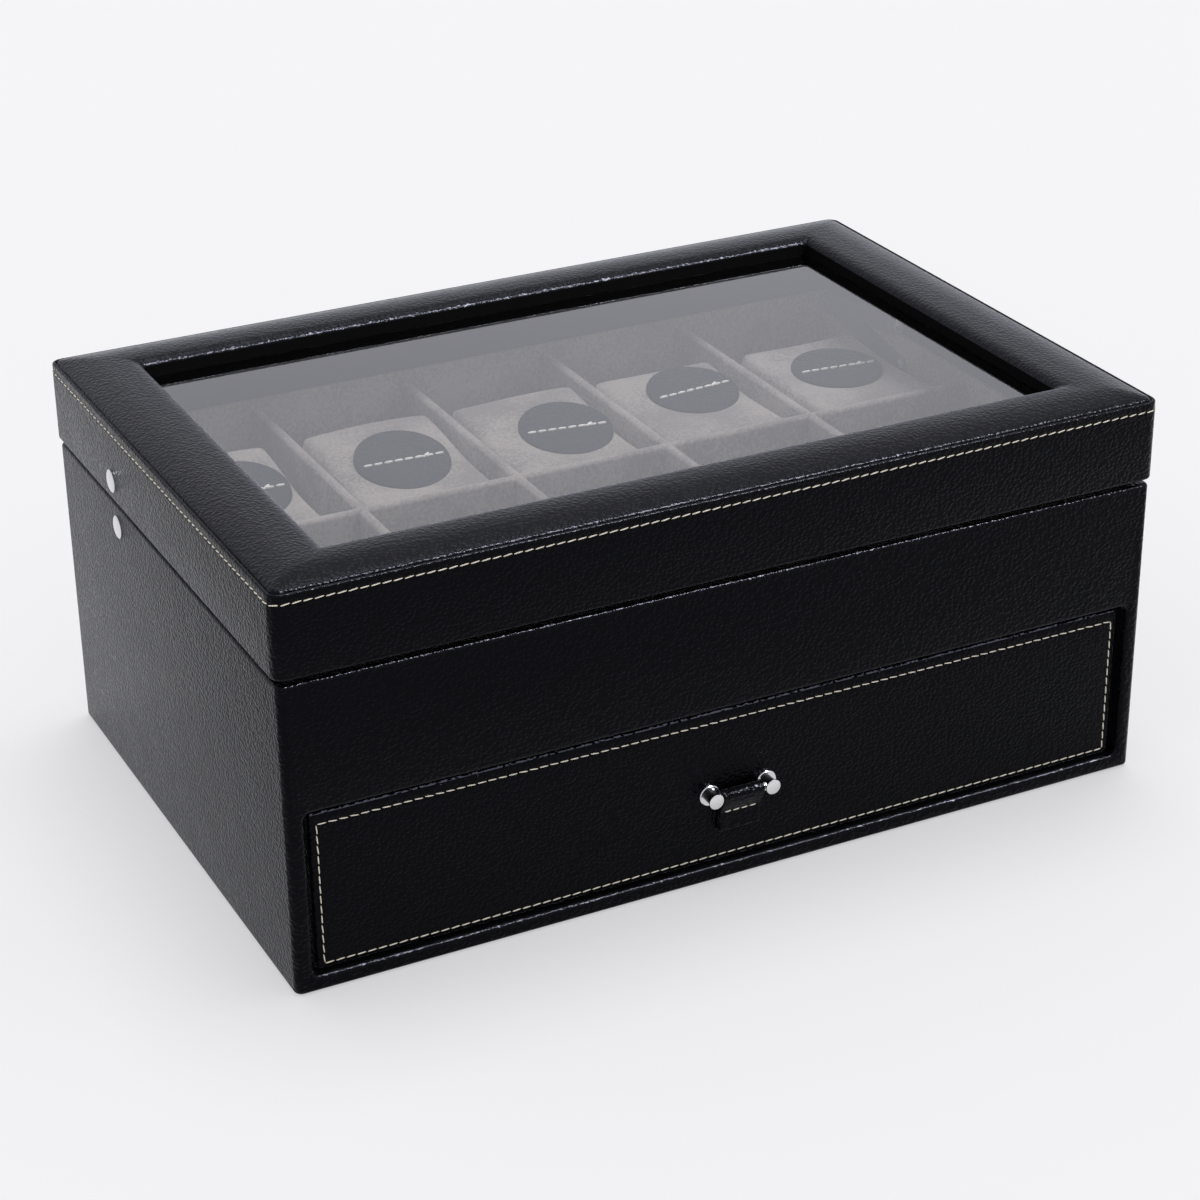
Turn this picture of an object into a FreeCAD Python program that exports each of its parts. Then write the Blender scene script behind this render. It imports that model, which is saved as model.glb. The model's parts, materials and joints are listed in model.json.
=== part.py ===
import FreeCAD, Part

# Watch valet: a leather-covered case with a glazed lid, a tray of ten watch cushions and one drawer.
# Lengths are millimetres and angles degrees. X runs along the front, Y from front to back, Z up.
# The origin lies on the surface that the valet stands on, under the middle of the case.

import math
import os

V = FreeCAD.Vector
X_AXIS = V(1, 0, 0)
Y_AXIS = V(0, 1, 0)
Z_AXIS = V(0, 0, 1)

# Case and lid, outside
case_width = 300.0
case_depth = 200.0
case_height = 103.6         # top edge of the case, without the lid
seam_gap = 2.0              # dark joint between case and lid
lid_height = 26.9           # lower edge of the lid to its rolled rim
lid_overhang = 0.8          # lid past the case on every side
corner_radius = 3.0         # upright corners, rounded by the wrapped leather
edge_roll = 0.7             # leather rolled over the long edges

# Sheet and board thicknesses
leather = 0.8
board = 4.0
velvet = 1.2
felt = 1.0
tray_board = 3.0
drawer_bottom_board = 3.0

# Underside
cover_lift = 0.2            # leather hem above the surface, so that only the felt touches it
hem_width = 12.0            # leather turned in under the case

# Drawer opening in the front
opening_side = 5.6          # case side to the opening's edge
opening_bottom = 5.4
opening_top = 60.9
opening_radius = 2.5
lining_stand = 3.8          # tray's lining stands above the case and finds the lid

# Tray dividers
divider = 3.5
divider_stand = 1.0         # dividers above the case's edge
columns = 5
stay_room = 8.75            # width that the folded stays take at each end of the tray
lap_play = 0.1              # play in the halving joints
divider_roll = 1.5          # rounded velvet top

# Watch cushions and the leather rounds sewn on them
cushion_side_gap = 1.15     # cushion to the dividers beside it
cushion_length = 68.0
cushion_height = 35.0
cushion_corner = 7.0
cushion_pull = 1.2          # sides drawn in between the corners
cushion_tuck = 2.5          # drawn in where it meets the floor
cushion_belly = 11.0        # height of its widest place
crown_drop = 6.5            # fall from the top to the shoulder
crown_reach = 8.0           # shoulder to the top's flat, where the round is sewn on
cushion_taper = 5.0         # length of each slope from a corner to the drawn-in side
crown_steps = 3             # facets up the crown
corner_chords = 2           # facets round a corner
round_chords = 32
cushion_rest = 0.3          # under the cushion
cushion_front_gap = 0.8     # cushion to the wall in front of it
round_diameter = 32.5
round_thickness = 2.4

# Lid
rim_width = 2.8             # rolled rim round the pad
rim_groove = 0.6            # groove between rim and pad
window_half_width = 126.0
window_half_depth = 79.0
pad_rise = 2.6              # pad's crown above the rim
pad_slope = 8.0             # rounded edge of the pad, each side
pad_steps = 3
pad_corner = 2.0
top_frame_thickness = 5.6
glass = 3.0
glass_step = 6.0            # glass under the frame, past the window's edge
glass_play = 0.2
retainer = 2.5
retainer_step = 2.0         # retainer's edge back from the window's edge
lid_rest = 0.3              # lid lining above the tray's lining

# Butt hinges at the back
hinge_inset = 55.0          # case side to the middle of a hinge
hinge_length = 26.0
hinge_leaf = 0.9
hinge_leaf_inset = 0.2      # leaf's edge to the wall's inner face
barrel_radius = 1.7
barrel_back = 2.6           # barrel axis behind the case
pin_radius = 0.8
pin_play = 0.05
pin_end = 0.3
knuckle_gap = 0.15
knuckles = 3

# Folding stays and their rivets
rivet_back = 60.0           # rivets from the back of the case
rivet_spread = 16.3         # upright distance between the two rivets when shut
rivet_head_radius = 3.8
rivet_head = 1.0
rivet_radius = 1.5
arm_length = 50.5           # pivot to elbow
arm_half_width = 3.5
arm_thickness = 1.1
arm_gap = 0.2
arm_from_wall = 0.4         # lower arm to the tray's lining
pivot_play = 0.05
pivot_head_radius = 2.6
pivot_head = 1.0
elbow_head_radius = 2.2

# Drawer
front_gap = 2.0             # drawer front to the opening at the sides
front_bottom_gap = 0.3      # drawer above the bay floor
front_top_gap = 1.4
front_recess = 2.1          # drawer front behind the case's front
front_board = 5.0
front_roll = 1.4            # padded edge of the drawer front
drawer_side_set = 0.4       # drawer side inside the end of the front
drawer_side_drop = 3.5      # sides below the top of the front
drawer_back_gap = 3.2
drawer_lining_drop = 0.8    # lining below the top of the sides

# Leather pull on the drawer
post_spacing = 20.2
post_height = 30.5
post_flange_radius = 3.5
post_flange = 0.9
post_barrel_radius = 2.1
post_barrel_half = 1.5
post_disc_radius = 2.65
post_disc = 0.8
post_shank_radius = 1.3
shank_play = 0.1
bar_standoff = 3.1          # bar's axis in front of the drawer
bar_radius = 1.1
bar_socket = 1.0            # bar let into each post
bar_play = 0.05
tab_width = 14.3
tab_leather = 0.9           # one layer of the folded tab
tab_play = 0.15             # tab's loop round the bar
tab_drop = 13.1             # bar's axis to the tab's lower edge
tab_join = 5.0              # bar's axis to where the two layers meet
tab_face_gap = 0.3          # tab's lower edge to the drawer front

# Places that follow from the sizes above
half_width = case_width / 2
half_depth = case_depth / 2
board_x = half_width - leather
board_y = half_depth - leather
inner_x = board_x - board
inner_y = board_y - board
board_top = case_height - leather
board_radius = min(corner_radius - leather, board / 2)

tray_wall_top = case_height + lining_stand
divider_top = case_height + divider_stand
opening_x = half_width - opening_side
rail_bottom = opening_top + leather
tray_floor_top = rail_bottom + tray_board
lining_floor = tray_floor_top + velvet
lining_x = inner_x - velvet
lining_y = inner_y - velvet
column_width = (2 * (lining_x - stay_room) - (columns - 1) * divider) / columns
cushion_width = column_width - 2 * cushion_side_gap

lid_x = half_width + lid_overhang
lid_y = half_depth + lid_overhang
lid_bottom = case_height + seam_gap
lid_rim = lid_bottom + lid_height
lid_board_x = lid_x - leather
lid_board_y = lid_y - leather
lid_inner_x = lid_board_x - board
lid_inner_y = lid_board_y - board
top_frame_top = lid_rim - leather
top_frame_bottom = top_frame_top - top_frame_thickness
glass_x = window_half_width + glass_step
glass_y = window_half_depth + glass_step

hinge_y = half_depth + barrel_back
hinge_z = case_height + seam_gap / 2
rivet_y = half_depth - rivet_back
case_rivet_z = hinge_z - rivet_spread / 2
lid_rivet_z = hinge_z + rivet_spread / 2

front_x = opening_x - front_gap
front_z0 = opening_bottom + front_bottom_gap
front_z1 = opening_top - front_top_gap
front_face = -half_depth + front_recess
front_board_y = front_face + leather
front_back = front_board_y + front_board
drawer_x = front_x - drawer_side_set
drawer_back = inner_y - drawer_back_gap
drawer_top = front_z1 - drawer_side_drop


def box(x0, x1, y0, y1, z0, z1):
    """Box between two corners."""
    return Part.makeBox(x1 - x0, y1 - y0, z1 - z0, V(x0, y0, z0))


def centred_box(half_x, half_y, z0, z1):
    """Box centred on the upright axis."""
    return box(-half_x, half_x, -half_y, half_y, z0, z1)


def both_sides(shape):
    """A solid and its mirror image across the middle of the valet."""
    return Part.makeCompound([shape, left_of(shape)])


def left_of(shape):
    """Mirror image of a right-hand solid."""
    return shape.mirror(V(0, 0, 0), X_AXIS)


def outline(half_x, half_y, radius, z, pull=0.0):
    """Closed rounded rectangle at height z, with its sides drawn in by pull."""
    diagonal = radius * (1 - math.sqrt(0.5))
    points = []
    for turn in range(4):
        a, b = (half_x, half_y) if turn % 2 == 0 else (half_y, half_x)
        side = [V(-(a - radius), -b, z), V(0, -(b - pull), z), V(a - radius, -b, z)]
        bend = [V(a - diagonal, -(b - diagonal), z), V(a, -(b - radius), z)]
        spin = FreeCAD.Rotation(Z_AXIS, 90 * turn)
        points.append([spin.multVec(p) for p in side + bend])
    edges = []
    for start, middle, end, bend, last in points:
        if pull:
            edges.append(Part.Arc(start, middle, end).toShape())
        else:
            edges.append(Part.makeLine(start, end))
        edges.append(Part.Arc(end, bend, last).toShape())
    return Part.Wire(edges)


def rounded_prism(half_x, half_y, radius, z0, z1):
    """Upright prism on a rounded rectangle."""
    face = Part.Face(outline(half_x, half_y, radius, z0))
    return face.extrude(V(0, 0, z1 - z0))


def edges_at(shape, keep):
    """Edges whose every vertex passes the test keep(point)."""
    return [e for e in shape.Edges if all(keep(v.Point) for v in e.Vertexes)]


def near(a, b):
    """True where two coordinates are the same place."""
    return abs(a - b) < 1e-4


def rod(radius, length, start, axis):
    """Round bar."""
    return Part.makeCylinder(radius, length, start, axis)


def fused(shapes):
    """One solid from touching ones, with no seams left on flat faces."""
    whole = shapes[0]
    for shape in shapes[1:]:
        whole = whole.fuse(shape)
    return whole.removeSplitter()


# Case boards

def case_side():
    """Right-hand side board, its outer upright edges eased for the leather."""
    side = box(inner_x, board_x, -board_y, board_y, felt, board_top)
    eased = edges_at(side, lambda p: near(p.x, board_x) and near(abs(p.y), board_y))
    upright = [e for e in eased if not near(e.Vertexes[0].Point.z, e.Vertexes[1].Point.z)]
    side = side.makeFillet(board_radius, upright)
    hole = rod(rivet_radius, board, V(inner_x, rivet_y, case_rivet_z), X_AXIS)
    return side.cut(hole)


def case_back():
    """Back board, between the sides."""
    return box(-inner_x, inner_x, inner_y, board_y, felt, board_top)


def case_bottom():
    """Bottom board, rebated in front for the leather that turns into the opening."""
    bottom = box(-inner_x, inner_x, -board_y, inner_y, felt, opening_bottom)
    rebate = box(-inner_x, inner_x, -board_y, -inner_y, opening_bottom - leather, opening_bottom)
    return bottom.cut(rebate)


def case_front_rail():
    """Rail above the drawer."""
    return box(-inner_x, inner_x, -board_y, -inner_y, rail_bottom, board_top)


def tray_floor():
    """Board between the tray and the drawer's bay."""
    return centred_box(inner_x, inner_y, rail_bottom, tray_floor_top)


def case_cover():
    """Leather round the case, turned over the top edge, under the base and into the opening."""
    skin = rounded_prism(half_width, half_depth, corner_radius, cover_lift, case_height)
    rims = edges_at(skin, lambda p: near(p.z, case_height))
    skin = skin.makeChamfer(min(edge_roll, corner_radius / 2), rims)
    skin = skin.cut(rounded_prism(board_x, board_y, board_radius, felt, board_top))
    skin = skin.cut(centred_box(inner_x, inner_y, board_top, case_height))
    skin = skin.cut(centred_box(half_width - hem_width, half_depth - hem_width, cover_lift, felt))
    lining = box(-inner_x, inner_x, -board_y, -inner_y, opening_bottom - leather, rail_bottom)
    skin = skin.fuse(lining)
    middle = (opening_bottom + opening_top) / 2
    half_opening = (opening_top - opening_bottom) / 2
    mouth = Part.Face(outline(opening_x, half_opening, opening_radius, 0))
    mouth.rotate(V(0, 0, 0), X_AXIS, 90)
    mouth.translate(V(0, -inner_y, middle))
    skin = skin.cut(mouth.extrude(V(0, -(half_depth - inner_y), 0)))
    skin = skin.cut(both_sides(rod(rivet_radius, leather, V(board_x, rivet_y, case_rivet_z), X_AXIS)))
    return skin.removeSplitter()


def base_felt():
    """Felt under the case, inside the leather hem."""
    return centred_box(half_width - hem_width, half_depth - hem_width, 0, felt)


# Tray

def tray_liner():
    """Velvet-covered lining of the tray, standing proud of the case to find the lid."""
    liner = centred_box(inner_x, inner_y, tray_floor_top, tray_wall_top)
    liner = liner.cut(centred_box(lining_x, lining_y, lining_floor, tray_wall_top))
    return liner.cut(both_sides(rod(rivet_radius, velvet, V(lining_x, rivet_y, case_rivet_z), X_AXIS)))


def column_middle(column):
    """X of the middle of a column of the tray, with column 0 at the left end."""
    walls = [-lining_x - divider / 2] + divider_places() + [lining_x + divider / 2]
    return (walls[column] + walls[column + 1]) / 2


def divider_places():
    """X of each cross divider."""
    return [(i - columns / 2 + 1) * (column_width + divider) for i in range(columns - 1)]


def rounded_top(shape):
    """Rolls the long top edges of a divider."""
    top = edges_at(shape, lambda p: near(p.z, divider_top))
    long_edges = [e for e in top if e.Length > 2 * divider]
    return shape.makeFillet(min(divider_roll, 0.45 * divider), long_edges)


lap_height = (lining_floor + divider_top) / 2


def divider_long():
    """Divider along the tray, slotted from above for the cross dividers."""
    wall = rounded_top(centred_box(lining_x, divider / 2, lining_floor, divider_top))
    for x in divider_places():
        half = divider / 2 + lap_play
        wall = wall.cut(box(x - half, x + half, -divider, divider, lap_height, divider_top))
    return wall


def divider_cross(x):
    """Divider across the tray, slotted from below to straddle the long one."""
    wall = rounded_top(centred_box(divider / 2, lining_y, lining_floor, divider_top))
    half = divider / 2 + lap_play
    wall = wall.cut(box(-divider, divider, -half, half, lining_floor, lap_height))
    wall.translate(V(x, 0, 0))
    return wall


# Cushions

cushion_foot = lining_floor + cushion_rest
cushion_top = cushion_foot + cushion_height


def cushion_corners(inset, z):
    """Corner points of a cushion's plan at height z: rounded corners, sides drawn in between them."""
    half_x = cushion_width / 2 - inset
    half_y = cushion_length / 2 - inset
    points = []
    for turn in range(4):
        a, b = (half_x, half_y) if turn % 2 == 0 else (half_y, half_x)
        spin = FreeCAD.Rotation(Z_AXIS, 90 * turn)
        waist = a - cushion_corner - cushion_taper
        plan = [V(-waist, -(b - cushion_pull), z), V(waist, -(b - cushion_pull), z)]
        for step in range(corner_chords + 1):
            bend = math.radians(90 * step / corner_chords)
            x = a - cushion_corner * (1 - math.sin(bend))
            plan.append(V(x, -(b - cushion_corner * (1 - math.cos(bend))), z))
        points += [spin.multVec(p) for p in plan]
    return points


def closed(points):
    """Flat face through points."""
    return Part.Face(Part.makePolygon(points + points[:1]))


def cushion():
    """Soft block at the middle of the valet, lofted through flat facets up to its crown."""
    rings = [cushion_corners(cushion_tuck, cushion_foot),
             cushion_corners(0, cushion_foot + cushion_belly)]
    for step in range(crown_steps + 1):
        lift = math.radians(90 * step / crown_steps)
        inset = crown_reach * (1 - math.cos(lift))
        rings.append(cushion_corners(inset, cushion_top - crown_drop * (1 - math.sin(lift))))
    faces = [closed(rings[0]), closed(rings[-1])]
    for low, high in zip(rings, rings[1:]):
        for i in range(len(low)):
            faces.append(closed([low[i - 1], low[i], high[i], high[i - 1]]))
    shell = Part.Shell(faces)
    shell.sewShape()
    return Part.Solid(shell)


def leather_round():
    """Leather round sewn on the crown of the cushion at the middle of the valet."""
    radius = round_diameter / 2
    rim = [V(radius, 0, cushion_top)]
    for step in range(1, round_chords):
        rim.append(FreeCAD.Rotation(Z_AXIS, 360 * step / round_chords).multVec(rim[0]))
    return closed(rim).extrude(V(0, 0, round_thickness))


# Lid

def lid_wall_frame():
    """Four mitred walls of the lid, glued up as one frame."""
    radius = min(corner_radius - leather, board / 2)
    walls = rounded_prism(lid_board_x, lid_board_y, radius, lid_bottom + leather, top_frame_bottom)
    walls = walls.cut(centred_box(lid_inner_x, lid_inner_y, lid_bottom, top_frame_bottom))
    return walls.cut(both_sides(rod(rivet_radius, board, V(lid_inner_x, rivet_y, lid_rivet_z), X_AXIS)))


def lid_top_frame():
    """Board round the window, rebated beneath for the glass."""
    radius = min(corner_radius - leather, board / 2)
    frame = rounded_prism(lid_board_x, lid_board_y, radius, top_frame_bottom, top_frame_top)
    window = centred_box(window_half_width + leather, window_half_depth + leather,
                         top_frame_bottom, top_frame_top)
    rebate = centred_box(glass_x + glass_play, glass_y + glass_play,
                         top_frame_bottom, top_frame_bottom + glass + glass_play)
    return frame.cut(window).cut(rebate)


def lid_cover():
    """Leather skirt of the lid, turned under the walls and rolled over into the rim."""
    skin = rounded_prism(lid_x, lid_y, corner_radius, lid_bottom, lid_rim)
    rims = edges_at(skin, lambda p: near(p.z, lid_rim) or near(p.z, lid_bottom))
    rims = [e for e in rims if near(e.Vertexes[0].Point.z, e.Vertexes[-1].Point.z)]
    skin = skin.makeChamfer(min(edge_roll, leather * 0.95), rims)
    radius = min(corner_radius - leather, board / 2)
    skin = skin.cut(rounded_prism(lid_board_x, lid_board_y, radius, lid_bottom + leather, top_frame_top))
    skin = skin.cut(centred_box(lid_inner_x, lid_inner_y, lid_bottom, lid_bottom + leather))
    skin = skin.cut(centred_box(lid_x - rim_width, lid_y - rim_width, top_frame_top, lid_rim))
    return skin.cut(both_sides(rod(rivet_radius, leather, V(lid_board_x, rivet_y, lid_rivet_z), X_AXIS)))


def lid_pad():
    """Padded leather frame with a soft crown, tucked down round the window to the glass."""
    outer_x = lid_x - rim_width - rim_groove
    outer_y = lid_y - rim_width - rim_groove
    crown = lid_rim + pad_rise
    outer = []
    inner = []
    for step in range(pad_steps + 1):
        lift = math.radians(90 * step / pad_steps)
        inset = pad_slope * (1 - math.cos(lift))
        z = top_frame_top + (crown - top_frame_top) * math.sin(lift)
        outer.append(outline(outer_x - inset, outer_y - inset, pad_corner, z))
        inner.append(outline(window_half_width + inset, window_half_depth + inset, pad_corner, z))
    pad = Part.makeLoft(outer, True, True)
    hollow = Part.makeLoft(inner, True, True)
    pad = pad.cut(hollow)
    tuck_foot = top_frame_bottom + glass + glass_play
    tuck = centred_box(window_half_width + leather, window_half_depth + leather, tuck_foot, top_frame_top)
    tuck = tuck.cut(rounded_prism(window_half_width, window_half_depth, pad_corner, tuck_foot, top_frame_top))
    return fused([pad, tuck])


def lid_glass():
    """Glass pane, lying on its retainer."""
    return centred_box(glass_x, glass_y, top_frame_bottom, top_frame_bottom + glass)


def glass_retainer():
    """Velvet-covered frame that holds the glass up from beneath."""
    foot = top_frame_bottom - retainer
    frame = centred_box(lid_inner_x, lid_inner_y, foot, top_frame_bottom)
    clear = centred_box(window_half_width + retainer_step, window_half_depth + retainer_step,
                        foot, top_frame_bottom)
    return frame.cut(clear)


def lid_liner():
    """Velvet band inside the lid's walls, resting on the tray's lining."""
    foot = tray_wall_top + lid_rest
    head = top_frame_bottom - retainer
    band = centred_box(lid_inner_x, lid_inner_y, foot, head)
    band = band.cut(centred_box(lid_inner_x - velvet, lid_inner_y - velvet, foot, head))
    hole = rod(rivet_radius, velvet, V(lid_inner_x - velvet, rivet_y, lid_rivet_z), X_AXIS)
    return band.cut(both_sides(hole))


# Hinges

def hinge_leaf_pair(z0, wall_inner, own):
    """Both hinges' leaves on one side of the seam, with the knuckles whose turn it is."""
    middle = half_width - hinge_inset
    start = middle - hinge_length / 2
    notch = hinge_y - barrel_radius - hinge_leaf_inset
    leaf = box(start, start + hinge_length, wall_inner + hinge_leaf_inset, notch, z0, z0 + hinge_leaf)
    parts = [leaf]
    pitch = hinge_length / knuckles
    for index in range(knuckles):
        if (index % 2 == 0) != own:
            continue
        x0 = start + index * pitch + knuckle_gap * (index > 0)
        x1 = start + (index + 1) * pitch - knuckle_gap * (index < knuckles - 1)
        parts.append(box(x0, x1, notch, hinge_y, z0, z0 + hinge_leaf))
        parts.append(rod(barrel_radius, x1 - x0, V(x0, hinge_y, hinge_z), X_AXIS))
    bore = rod(pin_radius + pin_play, hinge_length, V(start, hinge_y, hinge_z), X_AXIS)
    return both_sides(fused(parts).cut(bore))


def hinge_case_leaves():
    """Leaves on the case, with the outer knuckles."""
    return hinge_leaf_pair(case_height, inner_y, True)


def hinge_lid_leaves():
    """Leaves under the lid, with the middle knuckle."""
    return hinge_leaf_pair(lid_bottom - hinge_leaf, lid_inner_y, False)


def hinge_pins():
    """Pins through the knuckles, standing out a little at both ends."""
    start = half_width - hinge_inset - hinge_length / 2 - pin_end
    return both_sides(rod(pin_radius, hinge_length + 2 * pin_end, V(start, hinge_y, hinge_z), X_AXIS))


# Rivets and folding stays

lower_arm_x = lining_x - arm_from_wall - arm_thickness
upper_arm_x = lower_arm_x - arm_gap - arm_thickness


def rivet(outside, arm_x, z):
    """Right-hand rivet: outer head, shank through the wall and the arm, inner head."""
    head = rod(rivet_head_radius, rivet_head, V(outside, rivet_y, z), X_AXIS)
    end = arm_x - pivot_play
    shank = rod(rivet_radius, outside - end, V(end, rivet_y, z), X_AXIS)
    inner = rod(pivot_head_radius, pivot_head, V(end - pivot_head, rivet_y, z), X_AXIS)
    return fused([head, shank, inner])


def case_rivets():
    """Rivets through the case's sides, on which the lower arms turn."""
    return both_sides(rivet(half_width, lower_arm_x, case_rivet_z))


def lid_rivets():
    """Rivets through the lid's sides, on which the upper arms turn."""
    return both_sides(rivet(lid_x, upper_arm_x, lid_rivet_z))


def fold_angle():
    """Slope of each folded arm, from its rivet up or down to the shared elbow."""
    return math.degrees(math.asin(rivet_spread / 2 / arm_length))


def arm(x, z, slope, headed):
    """Flat arm with round ends, from its pivot back to the elbow."""
    w = arm_half_width
    top = Part.makeLine(V(x, 0, w), V(x, arm_length, w))
    tip = Part.Arc(V(x, arm_length, w), V(x, arm_length + w, 0), V(x, arm_length, -w)).toShape()
    bottom = Part.makeLine(V(x, arm_length, -w), V(x, 0, -w))
    heel = Part.Arc(V(x, 0, -w), V(x, -w, 0), V(x, 0, w)).toShape()
    link = Part.Face(Part.Wire([top, tip, bottom, heel])).extrude(V(arm_thickness, 0, 0))
    link = link.cut(rod(rivet_radius + pivot_play, arm_thickness, V(x, 0, 0), X_AXIS))
    if headed:
        link = link.fuse(rod(elbow_head_radius, pivot_head / 2, V(x - pivot_head / 2, arm_length, 0), X_AXIS))
    link.rotate(V(0, 0, 0), X_AXIS, slope)
    link.translate(V(0, rivet_y, z))
    return link


def lower_arm():
    """Right-hand arm on the case's rivet."""
    return arm(lower_arm_x, case_rivet_z, fold_angle(), False)


def upper_arm():
    """Right-hand arm on the lid's rivet, with the elbow's rivet head."""
    return arm(upper_arm_x, lid_rivet_z, -fold_angle(), True)


# Drawer

def drawer_front():
    """Front board, bored for the pull's shanks."""
    plate = box(-(front_x - leather), front_x - leather, front_board_y, front_back,
                front_z0 + leather, front_z1 - leather)
    return plate.cut(shank_holes())


def drawer_front_cover():
    """Leather over the drawer's front, wrapped round its edges."""
    skin = box(-front_x, front_x, front_face, front_back, front_z0, front_z1)
    rim = edges_at(skin, lambda p: near(p.y, front_face))
    skin = skin.makeFillet(min(front_roll, front_board / 2), rim)
    core = box(-(front_x - leather), front_x - leather, front_board_y, front_back,
               front_z0 + leather, front_z1 - leather)
    return skin.cut(core).cut(shank_holes())


def shank_holes():
    """Holes for the pull's two shanks, through the front."""
    hole = rod(post_shank_radius + shank_play, front_back - front_face,
               V(post_spacing / 2, front_face, post_height), Y_AXIS)
    return both_sides(hole)


def drawer_side():
    """Right-hand side board."""
    return box(drawer_x - board, drawer_x, front_back, drawer_back, front_z0, drawer_top)


def drawer_back_board():
    """Back board, between the sides."""
    return box(-(drawer_x - board), drawer_x - board, drawer_back - board, drawer_back,
               front_z0, drawer_top)


def drawer_bottom():
    """Bottom board, between front, sides and back."""
    return box(-(drawer_x - board), drawer_x - board, front_back, drawer_back - board,
               front_z0, front_z0 + drawer_bottom_board)


def drawer_liner():
    """Velvet lining of the drawer, open on top."""
    x = drawer_x - board
    y0 = front_back
    y1 = drawer_back - board
    z0 = front_z0 + drawer_bottom_board
    z1 = drawer_top - drawer_lining_drop
    liner = box(-x, x, y0, y1, z0, z1)
    return liner.cut(box(-(x - velvet), x - velvet, y0 + velvet, y1 - velvet, z0 + velvet, z1))


def pull_posts():
    """Two turned posts with a flange on the drawer, a barrel for the bar and an end disc."""
    bar = bar_standoff
    stations = [
        (-(front_back - front_face), post_shank_radius),
        (0, post_shank_radius),
        (0, post_flange_radius),
        (post_flange, post_flange_radius),
        (post_flange, post_barrel_radius),
        (bar + post_barrel_half, post_barrel_radius),
        (bar + post_barrel_half, post_disc_radius),
        (bar + post_barrel_half + post_disc, post_disc_radius),
    ]
    axis_points = [(stations[-1][0], 0), (stations[0][0], 0)]
    corners = [V(r, -y, 0) for y, r in stations + axis_points]
    half = Part.Face(Part.makePolygon(corners + corners[:1]))
    post = half.revolve(V(0, 0, 0), Y_AXIS, 360)
    post.translate(V(post_spacing / 2, front_face, post_height))
    socket = rod(bar_radius + bar_play, post_spacing - 2 * bar_end(),
                 V(-post_spacing / 2 + bar_end(), front_face - bar, post_height), X_AXIS)
    return both_sides(post.cut(socket))


def bar_end():
    """Distance from a post's axis to the end of the bar in its socket."""
    return post_barrel_radius - bar_socket


def pull_bar():
    """Bar between the posts, let into both."""
    reach = post_spacing / 2 - bar_end() - bar_play
    return rod(bar_radius, 2 * reach, V(-reach, front_face - bar_standoff, post_height), X_AXIS)


def pull_tab():
    """Strip of leather folded over the bar, hanging with its lower edge against the drawer."""
    bore = bar_radius + tab_play
    loop = bore + tab_leather
    flat = tab_leather
    tip = flat / 2
    profile = [V(0, -loop, 0), V(0, -flat, -tab_join), V(0, -flat, -(tab_drop - tip)),
               V(0, -flat + tip, -tab_drop), V(0, flat - tip, -tab_drop),
               V(0, flat, -(tab_drop - tip)), V(0, flat, -tab_join), V(0, loop, 0)]
    legs = Part.Face(Part.makePolygon(profile + profile[:1])).extrude(V(tab_width, 0, 0))
    tab = fused([legs, rod(loop, tab_width, V(0, 0, 0), X_AXIS)])
    tab = tab.cut(rod(bore, tab_width, V(0, 0, 0), X_AXIS))
    lean = math.degrees(math.atan2(bar_standoff - flat - tab_face_gap, tab_drop))
    tab.rotate(V(0, 0, 0), X_AXIS, lean)
    tab.translate(V(-tab_width / 2, front_face - bar_standoff, post_height))
    return tab


def write(name, shape):
    """Stores one node."""
    shape.exportStep("parts/" + name + ".step")


def build():
    """Makes every node of the valet."""
    os.makedirs("parts", exist_ok=True)
    write("case_side_right", case_side())
    write("case_side_left", left_of(case_side()))
    write("case_back", case_back())
    write("case_bottom", case_bottom())
    write("case_front_rail", case_front_rail())
    write("tray_floor", tray_floor())
    write("case_cover", case_cover())
    write("base_felt", base_felt())
    write("tray_liner", tray_liner())
    write("divider_long", divider_long())
    for number, x in enumerate(divider_places(), 1):
        write("divider_cross_%d" % number, divider_cross(x))
    rows = {
        "back": divider / 2 + cushion_front_gap + cushion_length / 2,
        "front": -lining_y + cushion_front_gap + cushion_length / 2,
    }
    block = cushion()
    sewn_on = leather_round()
    for row, y in rows.items():
        for column in range(columns):
            place = V(column_middle(column), y, 0)
            write("cushion_%s_%d" % (row, column + 1), block.translated(place))
            write("round_%s_%d" % (row, column + 1), sewn_on.translated(place))
    write("lid_wall_frame", lid_wall_frame())
    write("lid_top_frame", lid_top_frame())
    write("lid_cover", lid_cover())
    write("lid_pad", lid_pad())
    write("lid_glass", lid_glass())
    write("glass_retainer", glass_retainer())
    write("lid_liner", lid_liner())
    write("hinge_case_leaves", hinge_case_leaves())
    write("hinge_lid_leaves", hinge_lid_leaves())
    write("hinge_pins", hinge_pins())
    write("case_rivets", case_rivets())
    write("lid_rivets", lid_rivets())
    write("stay_lower_right", lower_arm())
    write("stay_lower_left", left_of(lower_arm()))
    write("stay_upper_right", upper_arm())
    write("stay_upper_left", left_of(upper_arm()))
    write("drawer_front", drawer_front())
    write("drawer_front_cover", drawer_front_cover())
    write("drawer_side_right", drawer_side())
    write("drawer_side_left", left_of(drawer_side()))
    write("drawer_back", drawer_back_board())
    write("drawer_bottom", drawer_bottom())
    write("drawer_liner", drawer_liner())
    write("pull_posts", pull_posts())
    write("pull_bar", pull_bar())
    write("pull_tab", pull_tab())


build()
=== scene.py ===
# %% [markdown]
# # A watch valet in black leatherette
# The object is a case with a drawer, and over it a tray of ten watch cushions under a glazed lid.
# The boards, hinges and stays arrive as a fixed frame. This file dresses them: leather, velvet,
# thread, glass and nickel. Each step says what the piece is on the real object and how it is made.

# %% Frame
import json
import math

import bmesh
import bpy
from mathutils import Matrix, Vector
from mathutils.bvhtree import BVHTree


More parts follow.
